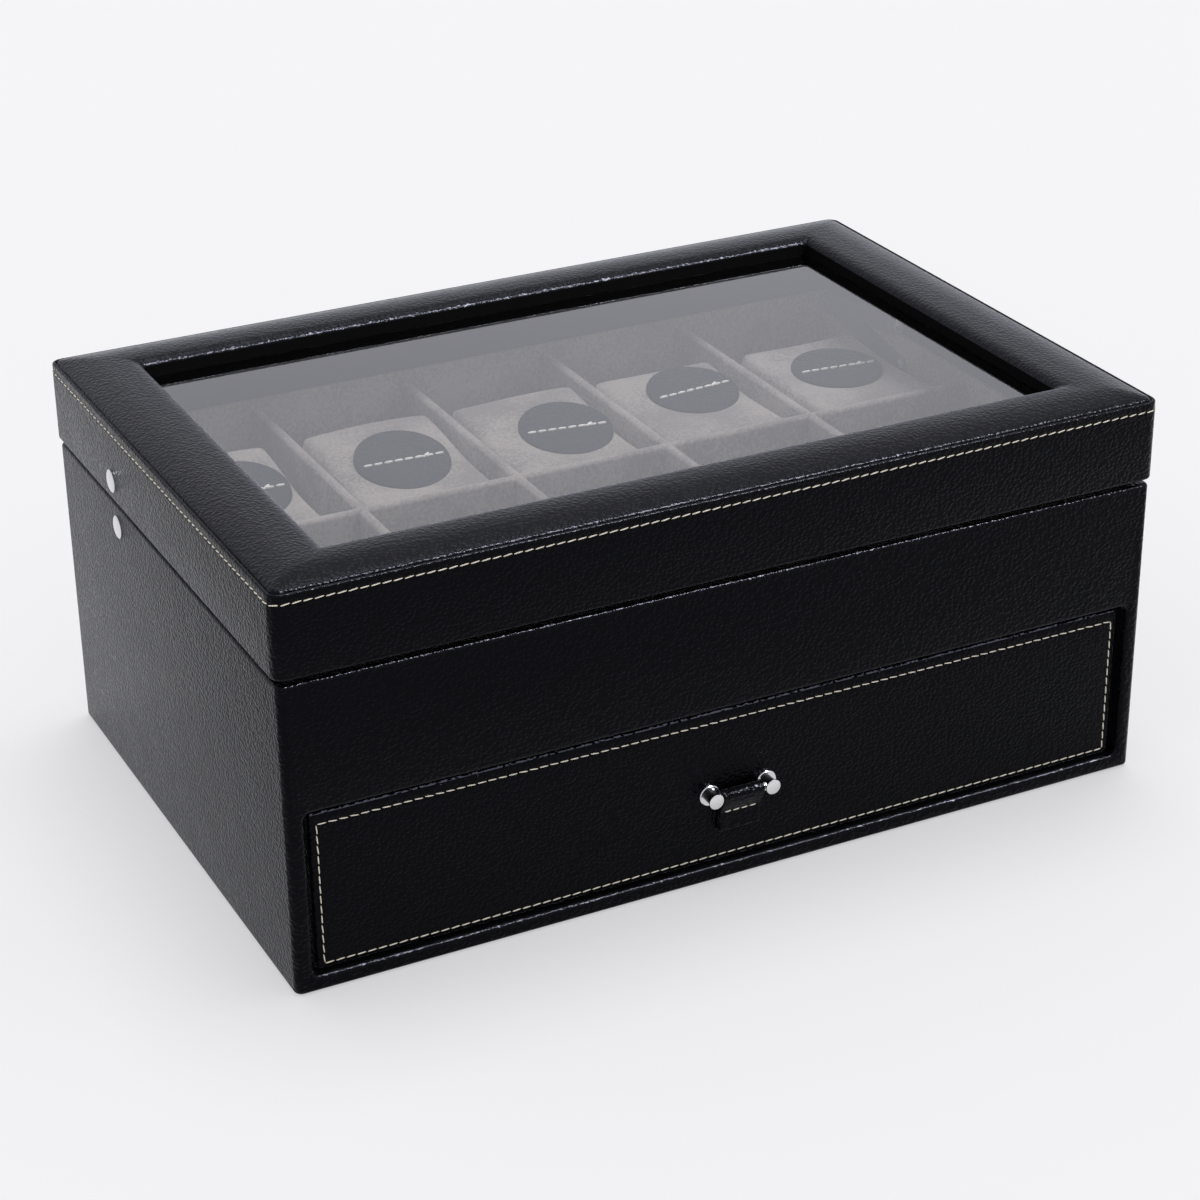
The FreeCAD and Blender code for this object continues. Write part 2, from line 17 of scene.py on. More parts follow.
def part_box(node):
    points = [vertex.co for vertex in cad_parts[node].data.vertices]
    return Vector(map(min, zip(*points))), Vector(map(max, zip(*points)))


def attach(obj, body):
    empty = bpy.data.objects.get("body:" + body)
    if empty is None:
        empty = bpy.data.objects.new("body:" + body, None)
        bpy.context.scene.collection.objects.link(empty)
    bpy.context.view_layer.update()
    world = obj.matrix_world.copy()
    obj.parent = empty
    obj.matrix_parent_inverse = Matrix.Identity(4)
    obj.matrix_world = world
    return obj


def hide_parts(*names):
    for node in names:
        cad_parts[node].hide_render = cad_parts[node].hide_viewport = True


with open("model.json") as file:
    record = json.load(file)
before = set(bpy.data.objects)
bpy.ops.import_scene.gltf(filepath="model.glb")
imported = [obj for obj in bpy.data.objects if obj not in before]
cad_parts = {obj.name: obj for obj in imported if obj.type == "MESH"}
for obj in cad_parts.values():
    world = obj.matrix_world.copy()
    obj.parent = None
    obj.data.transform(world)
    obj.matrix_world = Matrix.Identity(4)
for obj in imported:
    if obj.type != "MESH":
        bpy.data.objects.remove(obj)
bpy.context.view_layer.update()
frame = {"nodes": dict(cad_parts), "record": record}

MM = 0.001

# %% [markdown]
# ## Camera
# The viewpoint comes first, because every later choice is judged through it. It stands at the left
# front corner and looks down on the lid with a long lens, so upright edges stay nearly parallel.

# %% Camera
camera = bpy.data.objects.new("camera", bpy.data.cameras.new("camera"))
camera.data.sensor_width = 36
camera.data.lens = 88.47
camera.data.clip_end = 30
camera.location = Vector((-394.9, -794.7, 492.0)) * MM
camera.rotation_euler = [math.radians(a) for a in (63.676, 0.579, -26.806)]
bpy.context.scene.collection.objects.link(camera)
bpy.context.scene.camera = camera
print("camera:", [round(c, 3) for c in camera.location])

# %% [markdown]
# ## Sizes
# All sizes are millimetres on the real valet. A few are read from the frame, so that leather and
# boards can't drift apart; the rest belong to the leather, thread and padding alone.

# %% Sizes
def node_box(name):
    """Lowest and highest corner of a frame node, in millimetres."""
    low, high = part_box(name)
    return [c / MM for c in low], [c / MM for c in high]


case_low, case_high = node_box("case_cover")
lid_low, lid_high = node_box("lid_cover")
front_low, front_high = node_box("drawer_front_cover")
pad_top = node_box("lid_pad")[1][2]
pane_top = node_box("lid_glass")[1][2]

LEATHER = 0.8           # thickness of the wrap
BOARD = 4.0             # thickness of the walls under it
CORNER = 2.6            # radius of the case's upright edges
LID_CORNER = 4.0        # radius of the lid's
WINDOW_X = 126.0        # half the window's width
WINDOW_Y = 79.0         # half its depth
OPENING_X = 144.4       # half the width of the drawer's opening
OPENING_Z = (front_low[2] - 0.3, front_high[2] + 1.4)
SEAM_Z = lid_high[2] - 3.0
STITCH_PITCH = 3.4      # from one stitch to the next
STITCH_LENGTH = 2.9
THREAD = 0.42           # least thickness of a stitch
print("case", [round(h - l, 1) for l, h in zip(case_low, case_high)])

# %% [markdown]
# ## Helpers for meshes
# Nearly every leather and lining piece is a strip that runs round a rectangle with rounded corners.
# So one helper makes such a loop, and another joins loops into a closed skin. Building by loops
# keeps long clean quads, and the rounded edges are in the mesh, not only in the shading.

# %% Mesh helpers
def rounded_loop(half_x, half_y, radius, corner=6):
    """Points of a rectangle with rounded corners, anticlockwise from the front left."""
    radius = max(radius, 0.02)
    points = []
    for turn, (sx, sy) in enumerate(((-1, -1), (1, -1), (1, 1), (-1, 1))):
        centre = (sx * (half_x - radius), sy * (half_y - radius))
        for step in range(corner + 1):
            a = math.pi + math.pi / 2 * (turn + step / corner)
            points.append((centre[0] + radius * math.cos(a), centre[1] + radius * math.sin(a)))
    return points


def level(z):
    """Lays a loop flat at height z."""
    return lambda p: (p[0], p[1], z)


def facing(y, middle):
    """Stands a loop up at depth y, round a given height."""
    return lambda p: (p[0], y, p[1] + middle)


def skin_loops(bm, loops, closed=True, capped=False):
    """Joins loops of millimetre points into quads and returns their vertices."""
    rings = [[bm.verts.new([c * MM for c in p]) for p in loop] for loop in loops]
    pairs = list(zip(rings, rings[1:]))
    if closed:
        pairs.append((rings[-1], rings[0]))
    for low, high in pairs:
        for i in range(len(low)):
            bm.faces.new((low[i - 1], low[i], high[i], high[i - 1]))
    if capped:
        bm.faces.new(rings[0])
        bm.faces.new(rings[-1])
    return rings


def placed(name, data):
    """Object of a mesh or a lamp, in the scene."""
    obj = bpy.data.objects.new(name, data)
    bpy.context.scene.collection.objects.link(obj)
    return obj


def finish_mesh(bm, name, material, angle=35):
    """Turns a bmesh into an object with outward faces and crisp edges only past an angle."""
    bmesh.ops.recalc_face_normals(bm, faces=bm.faces)
    mesh = bpy.data.meshes.new(name)
    bm.to_mesh(mesh)
    bm.free()
    mesh.materials.append(material)
    mesh.shade_smooth()
    mesh.set_sharp_from_angle(angle=math.radians(angle))
    return placed(name, mesh)


def applied(obj):
    """Plain mesh of an object with its modifiers applied."""
    return bpy.data.meshes.new_from_object(
        obj.evaluated_get(bpy.context.evaluated_depsgraph_get()))


def ring_piece(name, stations, material, corner=6, angle=35):
    """Level strip round a rectangle, from (half_x, half_y, radius, z) stations."""
    bm = bmesh.new()
    loops = [[level(z)(p) for p in rounded_loop(x, y, r, corner)] for x, y, r, z in stations]
    skin_loops(bm, loops)
    return finish_mesh(bm, name, material, angle=angle)


def merged(objects, name):
    """Joins objects into the first one and renames it."""
    with bpy.context.temp_override(active_object=objects[0], selected_editable_objects=objects):
        bpy.ops.object.join()
    objects[0].name = name
    return objects[0]


def toward(axis):
    """Matrix that turns Z to an axis."""
    return Vector((0, 0, 1)).rotation_difference(Vector(axis)).to_matrix()


def lathe(name, profile, start, turn, material, segments=40, angle=40):
    """Turned piece from (along, radius) points, both ends closed, stood at start by a turn."""
    bm = bmesh.new()
    loops = []
    for along, radius in profile:
        angles = [2 * math.pi * i / segments for i in range(segments)]
        loops.append([turn @ Vector((radius * math.cos(a), radius * math.sin(a), along))
                      + Vector(start) for a in angles])
    skin_loops(bm, loops, closed=False, capped=True)
    return finish_mesh(bm, name, material, angle)


def replace_node(piece, body, slot, *nodes):
    """The piece stands for frame nodes and moves with a body; slot is not used."""
    if nodes:
        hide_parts(*nodes)
    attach(piece, body)


print("mesh helpers: loops, skins, rings and turned pieces")

# %% [markdown]
# ## Helpers for materials
# Colours are written as the hex values a paint card would give, and turned to the linear values
# that light adds up in. A pattern's scale is given by its real size, in millimetres.

# %% Material helpers
BLACK = "#040406"


def linear(code):
    """Linear colour of an sRGB hex code."""
    parts = [int(code[i:i + 2], 16) / 255 for i in (1, 3, 5)]
    return [c / 12.92 if c <= 0.04045 else ((c + 0.055) / 1.055) ** 2.4 for c in parts] + [1.0]


def add(tree, kind, inputs=None, **settings):
    """Adds a node: settings are its properties, inputs maps a socket to a value or an output."""
    made = tree.nodes.new(kind)
    for key, value in settings.items():
        setattr(made, key, value)
    for key, value in (inputs or {}).items():
        if isinstance(value, bpy.types.NodeSocket):
            tree.links.new(value, made.inputs[key])
        else:
            made.inputs[key].default_value = value
    return made


def blank_material(name):
    """Empty node material and its tree."""
    material = bpy.data.materials.new(name)
    material.use_nodes = True
    material.node_tree.nodes.clear()
    return material, material.node_tree


def per_mm(size):
    """Texture scale whose cells are about size millimetres wide."""
    return 1.0 / (size * MM)


print("black leatherette, linear:", [round(c, 5) for c in linear(BLACK)[:3]])

# %% [markdown]
# ## Black leatherette
# The wrap is a vinyl-faced cloth, embossed with a fine pebble and wiped satin. Its pebbles are
# nearly round flat domes about 1.3 mm across, with creases between them, so the pattern is a
# smooth Voronoi distance to the nearest centre, bent a little by noise. Black vinyl shows hardly
# any colour of its own: all one sees is its gloss, which the creases break up. Where it is drawn
# tight over the pad or rolled over an edge, the pebbles flatten and the gloss rises.

# %% Leatherette
GRAIN = 1.3
GRAIN_DEPTH = 0.17


def leatherette(name, colour, roughness, grain=GRAIN, depth=GRAIN_DEPTH, sheen=0.2, ior=1.16):
    """Embossed vinyl with a pebble of the given size and depth in millimetres."""
    material, tree = blank_material(name)
    place = add(tree, "ShaderNodeTexCoord").outputs["Object"]
    drift = add(tree, "ShaderNodeTexNoise", {"Vector": place, "Scale": per_mm(2.2), "Detail": 2.0})
    bend = add(tree, "ShaderNodeVectorMath", {0: drift.outputs["Color"], 1: (0.5, 0.5, 0.5)},
               operation="SUBTRACT")
    small = add(tree, "ShaderNodeVectorMath", {0: bend.outputs[0], "Scale": 1.1 * MM},
                operation="SCALE")
    bent = add(tree, "ShaderNodeVectorMath", {0: place, 1: small.outputs[0]}, operation="ADD")
    squat = add(tree, "ShaderNodeVectorMath", {0: bent.outputs[0], 1: (0.95, 0.95, 1.15)},
                operation="MULTIPLY")
    cells = add(tree, "ShaderNodeTexVoronoi",
                {"Vector": squat.outputs[0], "Scale": per_mm(grain), "Randomness": 0.9,
                 "Smoothness": 0.35}, feature="SMOOTH_F1")
    pebble = add(tree, "ShaderNodeMapRange",
                 {"Value": cells.outputs["Distance"], "From Min": 0.75, "From Max": 0.1},
                 interpolation_type="SMOOTHSTEP")
    pores = add(tree, "ShaderNodeTexNoise", {"Vector": place, "Scale": per_mm(0.8), "Detail": 2.0})
    waves = add(tree, "ShaderNodeTexNoise", {"Vector": place, "Scale": per_mm(14), "Detail": 2.0})
    height = add(tree, "ShaderNodeMath",
                 {0: pores.outputs["Fac"], 1: 0.25, 2: pebble.outputs["Result"]},
                 operation="MULTIPLY_ADD")
    swell = add(tree, "ShaderNodeMath", {0: waves.outputs["Fac"], 1: 0.8, 2: height.outputs[0]},
                operation="MULTIPLY_ADD")
    relief = add(tree, "ShaderNodeBump", {"Height": swell.outputs[0], "Strength": 1.0,
                                          "Distance": depth * MM})
    # Painted shade: the base colour drops to 0.55 of itself in the creases between the pebbles.
    crease_painted_shade = add(tree, "ShaderNodeMix",
                {0: pebble.outputs["Result"], 6: [c * 0.55 for c in linear(colour)[:3]] + [1],
                 7: linear(colour)}, data_type="RGBA")
    gloss = add(tree, "ShaderNodeMapRange",
                {"Value": waves.outputs["Fac"], "From Min": 0.35, "From Max": 0.65,
                 "To Min": roughness - 0.01, "To Max": roughness + 0.02})
    body = add(tree, "ShaderNodeBsdfPrincipled",
               {"Base Color": crease_painted_shade.outputs[2], "Roughness": gloss.outputs["Result"],
                "IOR": ior, "Specular Tint": (0.8, 0.82, 1.0, 1.0), "Sheen Weight": sheen,
                "Sheen Roughness": 0.3, "Sheen Tint": (0.82, 0.85, 1.0, 1.0),
                "Normal": relief.outputs["Normal"]})
    add(tree, "ShaderNodeOutputMaterial", {"Surface": body.outputs[0]})
    return material


wrap = leatherette("embossed_leatherette_black", BLACK, 0.22)
drawn_wrap = leatherette("embossed_leatherette_drawn_tight", BLACK, 0.26, grain=1.25, depth=0.09,
                         sheen=0.5, ior=1.2)
rolled_wrap = leatherette("embossed_leatherette_rolled", BLACK, 0.24, depth=0.1, ior=1.2)
pressed_wrap = leatherette("embossed_leatherette_pressed", BLACK, 0.2, depth=0.22, ior=1.9)


def roll_edges(piece, rolled=rolled_wrap, least=0.17, most=0.985):
    """Gives level rounded edges the finish of leather that is stretched over an edge."""
    piece.data.materials.append(rolled)
    for face in piece.data.polygons:
        if least < abs(face.normal.z) < most:
            face.material_index = 1


print("leatherette grain", GRAIN, "mm")

# %% [markdown]
# ## Velvet
# The linings and cushions are flocked grey velvet: upright fibres half a millimetre long. They take
# light deep into the pile and give it back at the edges, which is what sheen does. The pile also
# leans this way and that where it was stroked, in clouds a finger wide.

# %% Velvet
def velvet(name, colour, bruise):
    """Flocked pile in one colour, with stroked clouds of another."""
    material, tree = blank_material(name)
    place = add(tree, "ShaderNodeTexCoord").outputs["Object"]
    clouds = add(tree, "ShaderNodeTexNoise", {"Vector": place, "Scale": per_mm(22), "Detail": 3.0})
    fibres = add(tree, "ShaderNodeTexNoise", {"Vector": place, "Scale": per_mm(1.1), "Detail": 4.0,
                                              "Roughness": 0.7})
    speck = add(tree, "ShaderNodeMath", {0: fibres.outputs["Fac"], 1: 1.3, 2: -0.65},
                operation="MULTIPLY_ADD")
    mix = add(tree, "ShaderNodeMath", {0: clouds.outputs["Fac"], 1: speck.outputs[0]})
    stroked = add(tree, "ShaderNodeMapRange", {"Value": mix.outputs[0], "From Min": 0.35,
                                               "From Max": 0.65})
    tone = add(tree, "ShaderNodeMix", {0: stroked.outputs["Result"], 6: linear(bruise),
                                       7: linear(colour)}, data_type="RGBA")
    relief = add(tree, "ShaderNodeBump", {"Height": fibres.outputs["Fac"], "Strength": 0.7,
                                          "Distance": 0.25 * MM})
    pile = add(tree, "ShaderNodeBsdfPrincipled",
               {"Base Color": tone.outputs[2], "Roughness": 0.95, "IOR": 1.4,
                "Specular IOR Level": 0.2, "Sheen Weight": 0.35, "Sheen Roughness": 0.4,
                "Normal": relief.outputs["Normal"]})
    add(tree, "ShaderNodeOutputMaterial", {"Surface": pile.outputs[0]})
    return material


grey_velvet = velvet("flocked_velvet_grey", "#a8a197", "#827c74")
felt = velvet("wool_felt_black", "#1c1c1d", "#131314")
print("pile:", grey_velvet.name, felt.name)

# %% [markdown]
# ## Glass, metals, paper and thread
# The pane is float glass. It is thin beside what lies under it, so it is drawn as a film: part
# of the light passes straight through, and the mirrored light of both faces is given at the
# first. The rivets and the pull are nickel plate over brass, polished; the stays and hinges are
# rolled steel strip, tumbled and plated, so they are duller. The boards are faced with black paper
# where no velvet covers them. The thread is bonded polyester in cream, with a whiter one on the
# rounds.

# %% Glass, metals, paper, thread
FACE_SHARE = 1.72       # mirrored light of both faces, in shares of the first


def pane_glass(name, tint):
    """Thin float glass: clear, with mirrored light by angle."""
    material, tree = blank_material(name)
    clear = add(tree, "ShaderNodeBsdfTransparent", {"Color": linear(tint)})
    mirror = add(tree, "ShaderNodeBsdfGlossy", {"Roughness": 0.0, "Color": (1, 1, 1, 1)})
    angle = add(tree, "ShaderNodeFresnel", {"IOR": 1.5})
    leaving = add(tree, "ShaderNodeNewGeometry").outputs["Backfacing"]
    both_faces = add(tree, "ShaderNodeMapRange",
                     {"Value": leaving, "To Min": FACE_SHARE, "To Max": 0.0})
    share = add(tree, "ShaderNodeMath", {0: angle.outputs[0], 1: both_faces.outputs["Result"]},
                operation="MULTIPLY", use_clamp=True)
    both = add(tree, "ShaderNodeMixShader", {0: share.outputs[0], 1: clear.outputs[0],
                                             2: mirror.outputs[0]})
    add(tree, "ShaderNodeOutputMaterial", {"Surface": both.outputs[0]})
    return material


def metal(name, colour, roughness, streak):
    """Plated metal with fine scratches that run across streak millimetres."""
    material, tree = blank_material(name)
    place = add(tree, "ShaderNodeTexCoord").outputs["Object"]
    drawn = add(tree, "ShaderNodeVectorMath", {0: place, 1: (1.0, 0.15, 1.0)}, operation="MULTIPLY")
    lines = add(tree, "ShaderNodeTexNoise", {"Vector": drawn.outputs[0], "Scale": per_mm(streak),
                                             "Detail": 3.0})
    rough = add(tree, "ShaderNodeMapRange", {"Value": lines.outputs["Fac"],
                                             "To Min": roughness * 0.7, "To Max": roughness * 1.4})
    relief = add(tree, "ShaderNodeBump", {"Height": lines.outputs["Fac"], "Strength": 0.3,
                                          "Distance": 0.01 * MM})
    plate = add(tree, "ShaderNodeBsdfPrincipled",
                {"Base Color": linear(colour), "Metallic": 1.0,
                 "Roughness": rough.outputs["Result"], "Normal": relief.outputs["Normal"]})
    add(tree, "ShaderNodeOutputMaterial", {"Surface": plate.outputs[0]})
    return material


def plain_fibre(name, colour, other, size, roughness, ior=1.45):
    """Matt fibre surface that shifts between two close tones."""
    material, tree = blank_material(name)
    place = add(tree, "ShaderNodeTexCoord").outputs["Object"]
    grain = add(tree, "ShaderNodeTexNoise", {"Vector": place, "Scale": per_mm(size), "Detail": 4.0})
    tone = add(tree, "ShaderNodeMix", {0: grain.outputs["Fac"], 6: linear(other),
                                       7: linear(colour)}, data_type="RGBA")
    relief = add(tree, "ShaderNodeBump", {"Height": grain.outputs["Fac"], "Strength": 0.5,
                                          "Distance": 0.02 * MM})
    fibre = add(tree, "ShaderNodeBsdfPrincipled",
                {"Base Color": tone.outputs[2], "Roughness": roughness, "IOR": ior,
                 "Normal": relief.outputs["Normal"]})
    add(tree, "ShaderNodeOutputMaterial", {"Surface": fibre.outputs[0]})
    return material


glass = pane_glass("float_glass_clear", "#fafafc")
nickel = metal("nickel_plate_polished", "#d9d9da", 0.16, 0.4)
steel = metal("steel_strip_zinc_plated", "#a9abae", 0.45, 0.25)
# Painted dark reflection: near-black steel for the posts' necks, where the stem reflects dark
# things.
painted_dark_reflection_steel = metal("steel_painted_dark_reflection", "#0e0d0d", 0.3, 0.4)
paper = plain_fibre("board_paper_black", "#1d1d1f", "#141416", 0.5, 0.8)
# Dead black paper for the lid's lining, and painted shade on the pad's inner window wall.
black_paper_and_painted_shade = plain_fibre("paper_black_and_painted_shade", "#060607", "#040405", 0.5, 0.9, ior=1.1)
thread = plain_fibre("bonded_thread_cream", "#f8f1e0", "#e4dbc6", 0.3, 0.6)
white_thread = plain_fibre("bonded_thread_white", "#fdfaf2", "#f0eadc", 0.3, 0.6)

FINISH = {"leatherette": wrap, "velvet": grey_velvet, "board": paper, "glass": glass,
          "nickel": nickel, "steel": steel, "felt": felt}
slots = {part["node"]: part["material_slot"] for part in frame["record"]["subparts"]}
for name, obj in frame["nodes"].items():
    # The lid's liner and the glass retainer are black paper; the same finish is painted shade on the
    # pad's inner wall.
    inside_lid = name in ("lid_liner", "glass_retainer")
    obj.data.materials.clear()
    obj.data.materials.append(black_paper_and_painted_shade if inside_lid else FINISH[slots[name]])
print("nodes painted:", len(slots))

# %% [markdown]
# ## Leather round the case
# One sheet of leatherette wraps the four walls, turns under the base and over the top edge. On the
# front it is cut round the drawer and rolled into the opening. Here the four walls are a strip of
# loops. Its long front face is taken out and filled again round the opening, whose rolled edge is
# another strip of loops, so the whole skin stays one closed sheet with real thickness.

# %% Case leather
HEM = 12.0              # how far the sheet turns in under the base


def quarter(radius):
    """Offsets (out, up) of a rounded edge, from the face to the edge's top."""
    for step in range(5):
        a = math.pi / 8 * step
        yield radius * (math.cos(a) - 1), radius * math.sin(a)


def case_stations():
    """Offsets from the case's outside and heights, once round the sheet's section."""
    low, high = case_low[2], case_high[2]
    roll = 1.1
    foot = [(out, low + roll - up) for out, up in quarter(roll)]
    head = [(out, high - roll + up) for out, up in quarter(roll)]
    inside = [(-LEATHER - BOARD, high), (-LEATHER - BOARD, high - LEATHER),
              (-LEATHER, high - LEATHER)]
    hem = [(-LEATHER, low + LEATHER), (-HEM, low + LEATHER), (-HEM, low)]
    return hem + foot[::-1] + head + inside


def fill_round_opening(bm, y, inner):
    """Fills a flat wall at depth y between its own border and the opening's loop."""
    wall = [f for f in bm.faces if all(abs(v.co.y / MM - y) < 1e-3 for v in f.verts)]
    wall = max(wall, key=lambda f: f.calc_area())
    border = list(wall.edges)
    bmesh.ops.delete(bm, geom=[wall], context="FACES_ONLY")
    rim = [bm.edges.get((inner[i - 1], inner[i])) for i in range(len(inner))]
    bmesh.ops.triangle_fill(bm, edges=border + rim, use_beauty=True)


def case_leather():
    """The case's sheet, with the drawer's opening rolled in."""
    bm = bmesh.new()
    half_x, half_y = case_high[0], case_high[1]
    loops = []
    for out, z in case_stations():
        loop = rounded_loop(half_x + out, half_y + out, CORNER + out)
        loops.append([level(z)(p) for p in loop])
    skin_loops(bm, loops)
    middle = sum(OPENING_Z) / 2
    half_z = (OPENING_Z[1] - OPENING_Z[0]) / 2
    face = -half_y
    roll = 1.3
    stations = [(-out, face + roll - up) for out, up in quarter(roll)][::-1]
    stations += [(0.0, face + BOARD + LEATHER), (LEATHER, face + BOARD + LEATHER),
                 (LEATHER, face + LEATHER)]
    mouth = []
    for grow, y in stations:
        loop = rounded_loop(OPENING_X + grow, half_z + grow, 2.5 + grow)
        mouth.append([facing(y, middle)(p) for p in loop])
    rings = skin_loops(bm, mouth, closed=False)
    fill_round_opening(bm, face, rings[0])
    fill_round_opening(bm, face + LEATHER, rings[-1])
    return finish_mesh(bm, "case_leather", wrap)


case_skin = case_leather()
roll_edges(case_skin)
replace_node(case_skin, "case", "leatherette", "case_cover")
print("case leather faces:", len(case_skin.data.polygons))

# %% [markdown]
# ## Leather round the lid
# The lid's skirt is a second sheet. It turns under the walls, rises to a line of stitches 3 mm
# below the rim, and rolls over into a narrow groove round the pad. The pad itself is a foam frame
# under leather: it rises gently from the groove, and drops sharply into the window. The window's
# wall is leather too, drawn dead black as painted shade.

# %% Lid leather and pad
RIM = 0.6               # radius of the rolled rim
GAP = 2 * RIM + 0.5     # from the lid's outside to the pad


def lid_skirt():
    """The lid's sheet from its turned-under hem to the rolled rim."""
    low, high = lid_low[2], lid_high[2]
    roll = 0.75
    section = [(-LEATHER - BOARD, low + LEATHER), (-LEATHER - BOARD, low)]
    section += [(out, low + roll - up) for out, up in quarter(roll)][::-1]
    section += [(0.0, SEAM_Z - 1.2), (-0.07, SEAM_Z - 0.5), (-0.25, SEAM_Z), (-0.12, SEAM_Z + 0.5)]
    for step in range(9):
        a = math.pi * step / 8
        section.append((RIM * (math.cos(a) - 1) - 0.1, high - RIM + RIM * math.sin(a)))
    section += [(-2 * RIM - 0.1, high - 1.8), (-LEATHER, high - 1.8), (-LEATHER, low + LEATHER)]
    stations = [(lid_high[0] + o, lid_high[1] + o, LID_CORNER + o, z) for o, z in section]
    return ring_piece("lid_skirt_leather", stations, wrap)


def lid_padding():
    """The padded frame round the window, tucked down to the glass."""
    outer_x, outer_y = lid_high[0] - GAP, lid_high[1] - GAP
    foot = lid_high[2] - 1.2
    shoulder_foot = 2.3
    lip = [(0.0, 3.0), (0.14, 2.6), (0.45, 2.25), (0.95, 1.95), (2.0, 1.6), (4.0, 1.05), (7.0, 0.4),
           (10.0, 0.08), (12.0, 0.0)]
    shoulder = [(7.0, 0.0), (4.5, 0.08), (3.0, 0.25), (1.8, 0.6), (0.9, 1.1), (0.3, 1.7),
                (0.0, shoulder_foot)]
    wall = [(0.0, 1.6, pane_top + 0.9), (-0.35, 1.4, pane_top + 0.6), (-0.35, 1.4, pane_top + 0.15),
            (LEATHER, 1.6, pane_top + 0.15), (LEATHER, 1.6, foot - 0.3)]
    stations = [(outer_x, outer_y, LID_CORNER - GAP, foot)]
    stations += [(outer_x - s, outer_y - s, LID_CORNER - GAP, pad_top - drop) for s, drop in lip]
    stations += [(WINDOW_X + s, WINDOW_Y + s, 1.8, pad_top - drop) for s, drop in shoulder]
    stations += [(WINDOW_X + s, WINDOW_Y + s, r, z) for s, r, z in wall]
    stations += [(outer_x, outer_y, 2.2, foot - 0.3)]
    pad = ring_piece("lid_pad_leather", stations, drawn_wrap, corner=8, angle=50)
    # Painted shade: the window's inner wall takes the dead black finish in place of the leather.
    pad.data.materials.append(black_paper_and_painted_shade)
    for face in pad.data.polygons:
        middle = face.center / MM
        inside = abs(middle.x) < WINDOW_X + 0.1 and abs(middle.y) < WINDOW_Y + 0.1
        if inside and middle.z < pad_top - shoulder_foot:
            face.material_index = 1
    return pad


skirt = lid_skirt()
roll_edges(skirt)
replace_node(skirt, "lid", "leatherette", "lid_cover")
padding = lid_padding()
replace_node(padding, "lid", "leatherette", "lid_pad")
print("lid leather faces:", len(skirt.data.polygons), "and pad:", len(padding.data.polygons))

# %% [markdown]
# ## Drawer front
# The drawer's front is a board under thin foam and leather, sewn along all four sides. The seam
# pulls the leather down, so the face is a shallow cushion inside the stitches and a soft roll
# outside them. The seam lies deeper below the top edge than at the sides, and nearer to the foot.
# It is a stack of upright loops, from the back edge over the roll to the middle.

# %% Drawer front
STITCH_INSET = 2.55     # seam from the sides
SEAM_TOP_INSET = 4.0    # seam below the top edge
SEAM_FOOT_INSET = 2.2   # seam above the foot


def drawer_face():
    """Leather of the drawer's front, wrapped round the board's edges."""
    face, back = front_low[1], front_high[1]
    section = [(0.8, back), (0.0, back)]
    section += [(inset, face + depth) for inset, depth in (
        (0.0, 2.0), (0.1, 1.4), (0.3, 0.95), (0.6, 0.6), (1.0, 0.35), (1.5, 0.2), (2.1, 0.15),
        (STITCH_INSET, 0.24), (2.85, 0.12), (3.5, 0.02), (7.0, -0.05), (14.0, -0.1))]
    bm = bmesh.new()
    loops = []
    for inset, y in section:
        top = front_high[2] - min(inset * SEAM_TOP_INSET / STITCH_INSET, 20)
        foot = front_low[2] + inset * SEAM_FOOT_INSET / STITCH_INSET
        loop = rounded_loop(front_high[0] - inset, (top - foot) / 2, 1.6 - inset)
        loops.append([facing(y, (top + foot) / 2)(p) for p in loop])
    rings = skin_loops(bm, loops, closed=False)
    middle = (front_high[2] + front_low[2]) / 2
    half_z = (front_high[2] - front_low[2]) / 2 - LEATHER
    board = rounded_loop(front_high[0] - LEATHER, half_z, 0.8)
    board = [facing(face + LEATHER, middle)(p) for p in board]
    inner = [bm.verts.new([c * MM for c in p]) for p in board]
    for i in range(len(inner)):
        bm.faces.new((rings[0][i - 1], rings[0][i], inner[i], inner[i - 1]))
    bm.faces.new(rings[-1])
    bm.faces.new(inner)
    return finish_mesh(bm, "drawer_front_leather", wrap)


front_skin = drawer_face()
roll_edges(front_skin, pressed_wrap, 0.5, 0.7)
replace_node(front_skin, "drawer", "leatherette", "drawer_front_cover")
print("drawer leather faces:", len(front_skin.data.polygons))

# %% [markdown]
# ## Tray dividers
# Thin boards under velvet, glued at their laps. The pile rounds their top edges, which catch the
# light as a pale band. Each is one upright section, pulled along the tray.

# %% Dividers
DIVIDER_STEPS = 24      # loops along a divider


def divider_piece(name, across):
    """Velvet-covered divider with a rounded top, from a frame node and its thin direction."""
    low, high = node_box(name)
    along = 1 - across
    half = (high[across] - low[across]) / 2
    centre = (high[across] + low[across]) / 2
    section = [(-half, low[2]), (half, low[2])]
    for step in range(9):
        a = math.pi * step / 8
        section.append((half * math.cos(a), high[2] + half * 0.85 * (math.sin(a) - 1)))
    loops = []
    for i in range(DIVIDER_STEPS + 1):
        reach = low[along] + (high[along] - low[along]) * i / DIVIDER_STEPS
        loops.append([(centre + s, reach, z) if along else (reach, centre + s, z)
                      for s, z in section])
    bm = bmesh.new()
    skin_loops(bm, loops, closed=False, capped=True)
    replace_node(finish_mesh(bm, name + "_velvet", grey_velvet), "case", "velvet", name)


for number in range(1, 5):
    divider_piece("divider_cross_%d" % number, 0)
divider_piece("divider_long", 1)
print("dividers: 5")

# %% [markdown]
# ## Watch cushions
# Each cushion is a block of foam in a velvet cover, with a seam just under its top edge. Foam
# under a sewn cover swells: the top crowns and the sides belly out. A cloth simulation with air
# pressure gives that form better than any formula, so one cushion is blown up and its mesh
# serves all ten places.

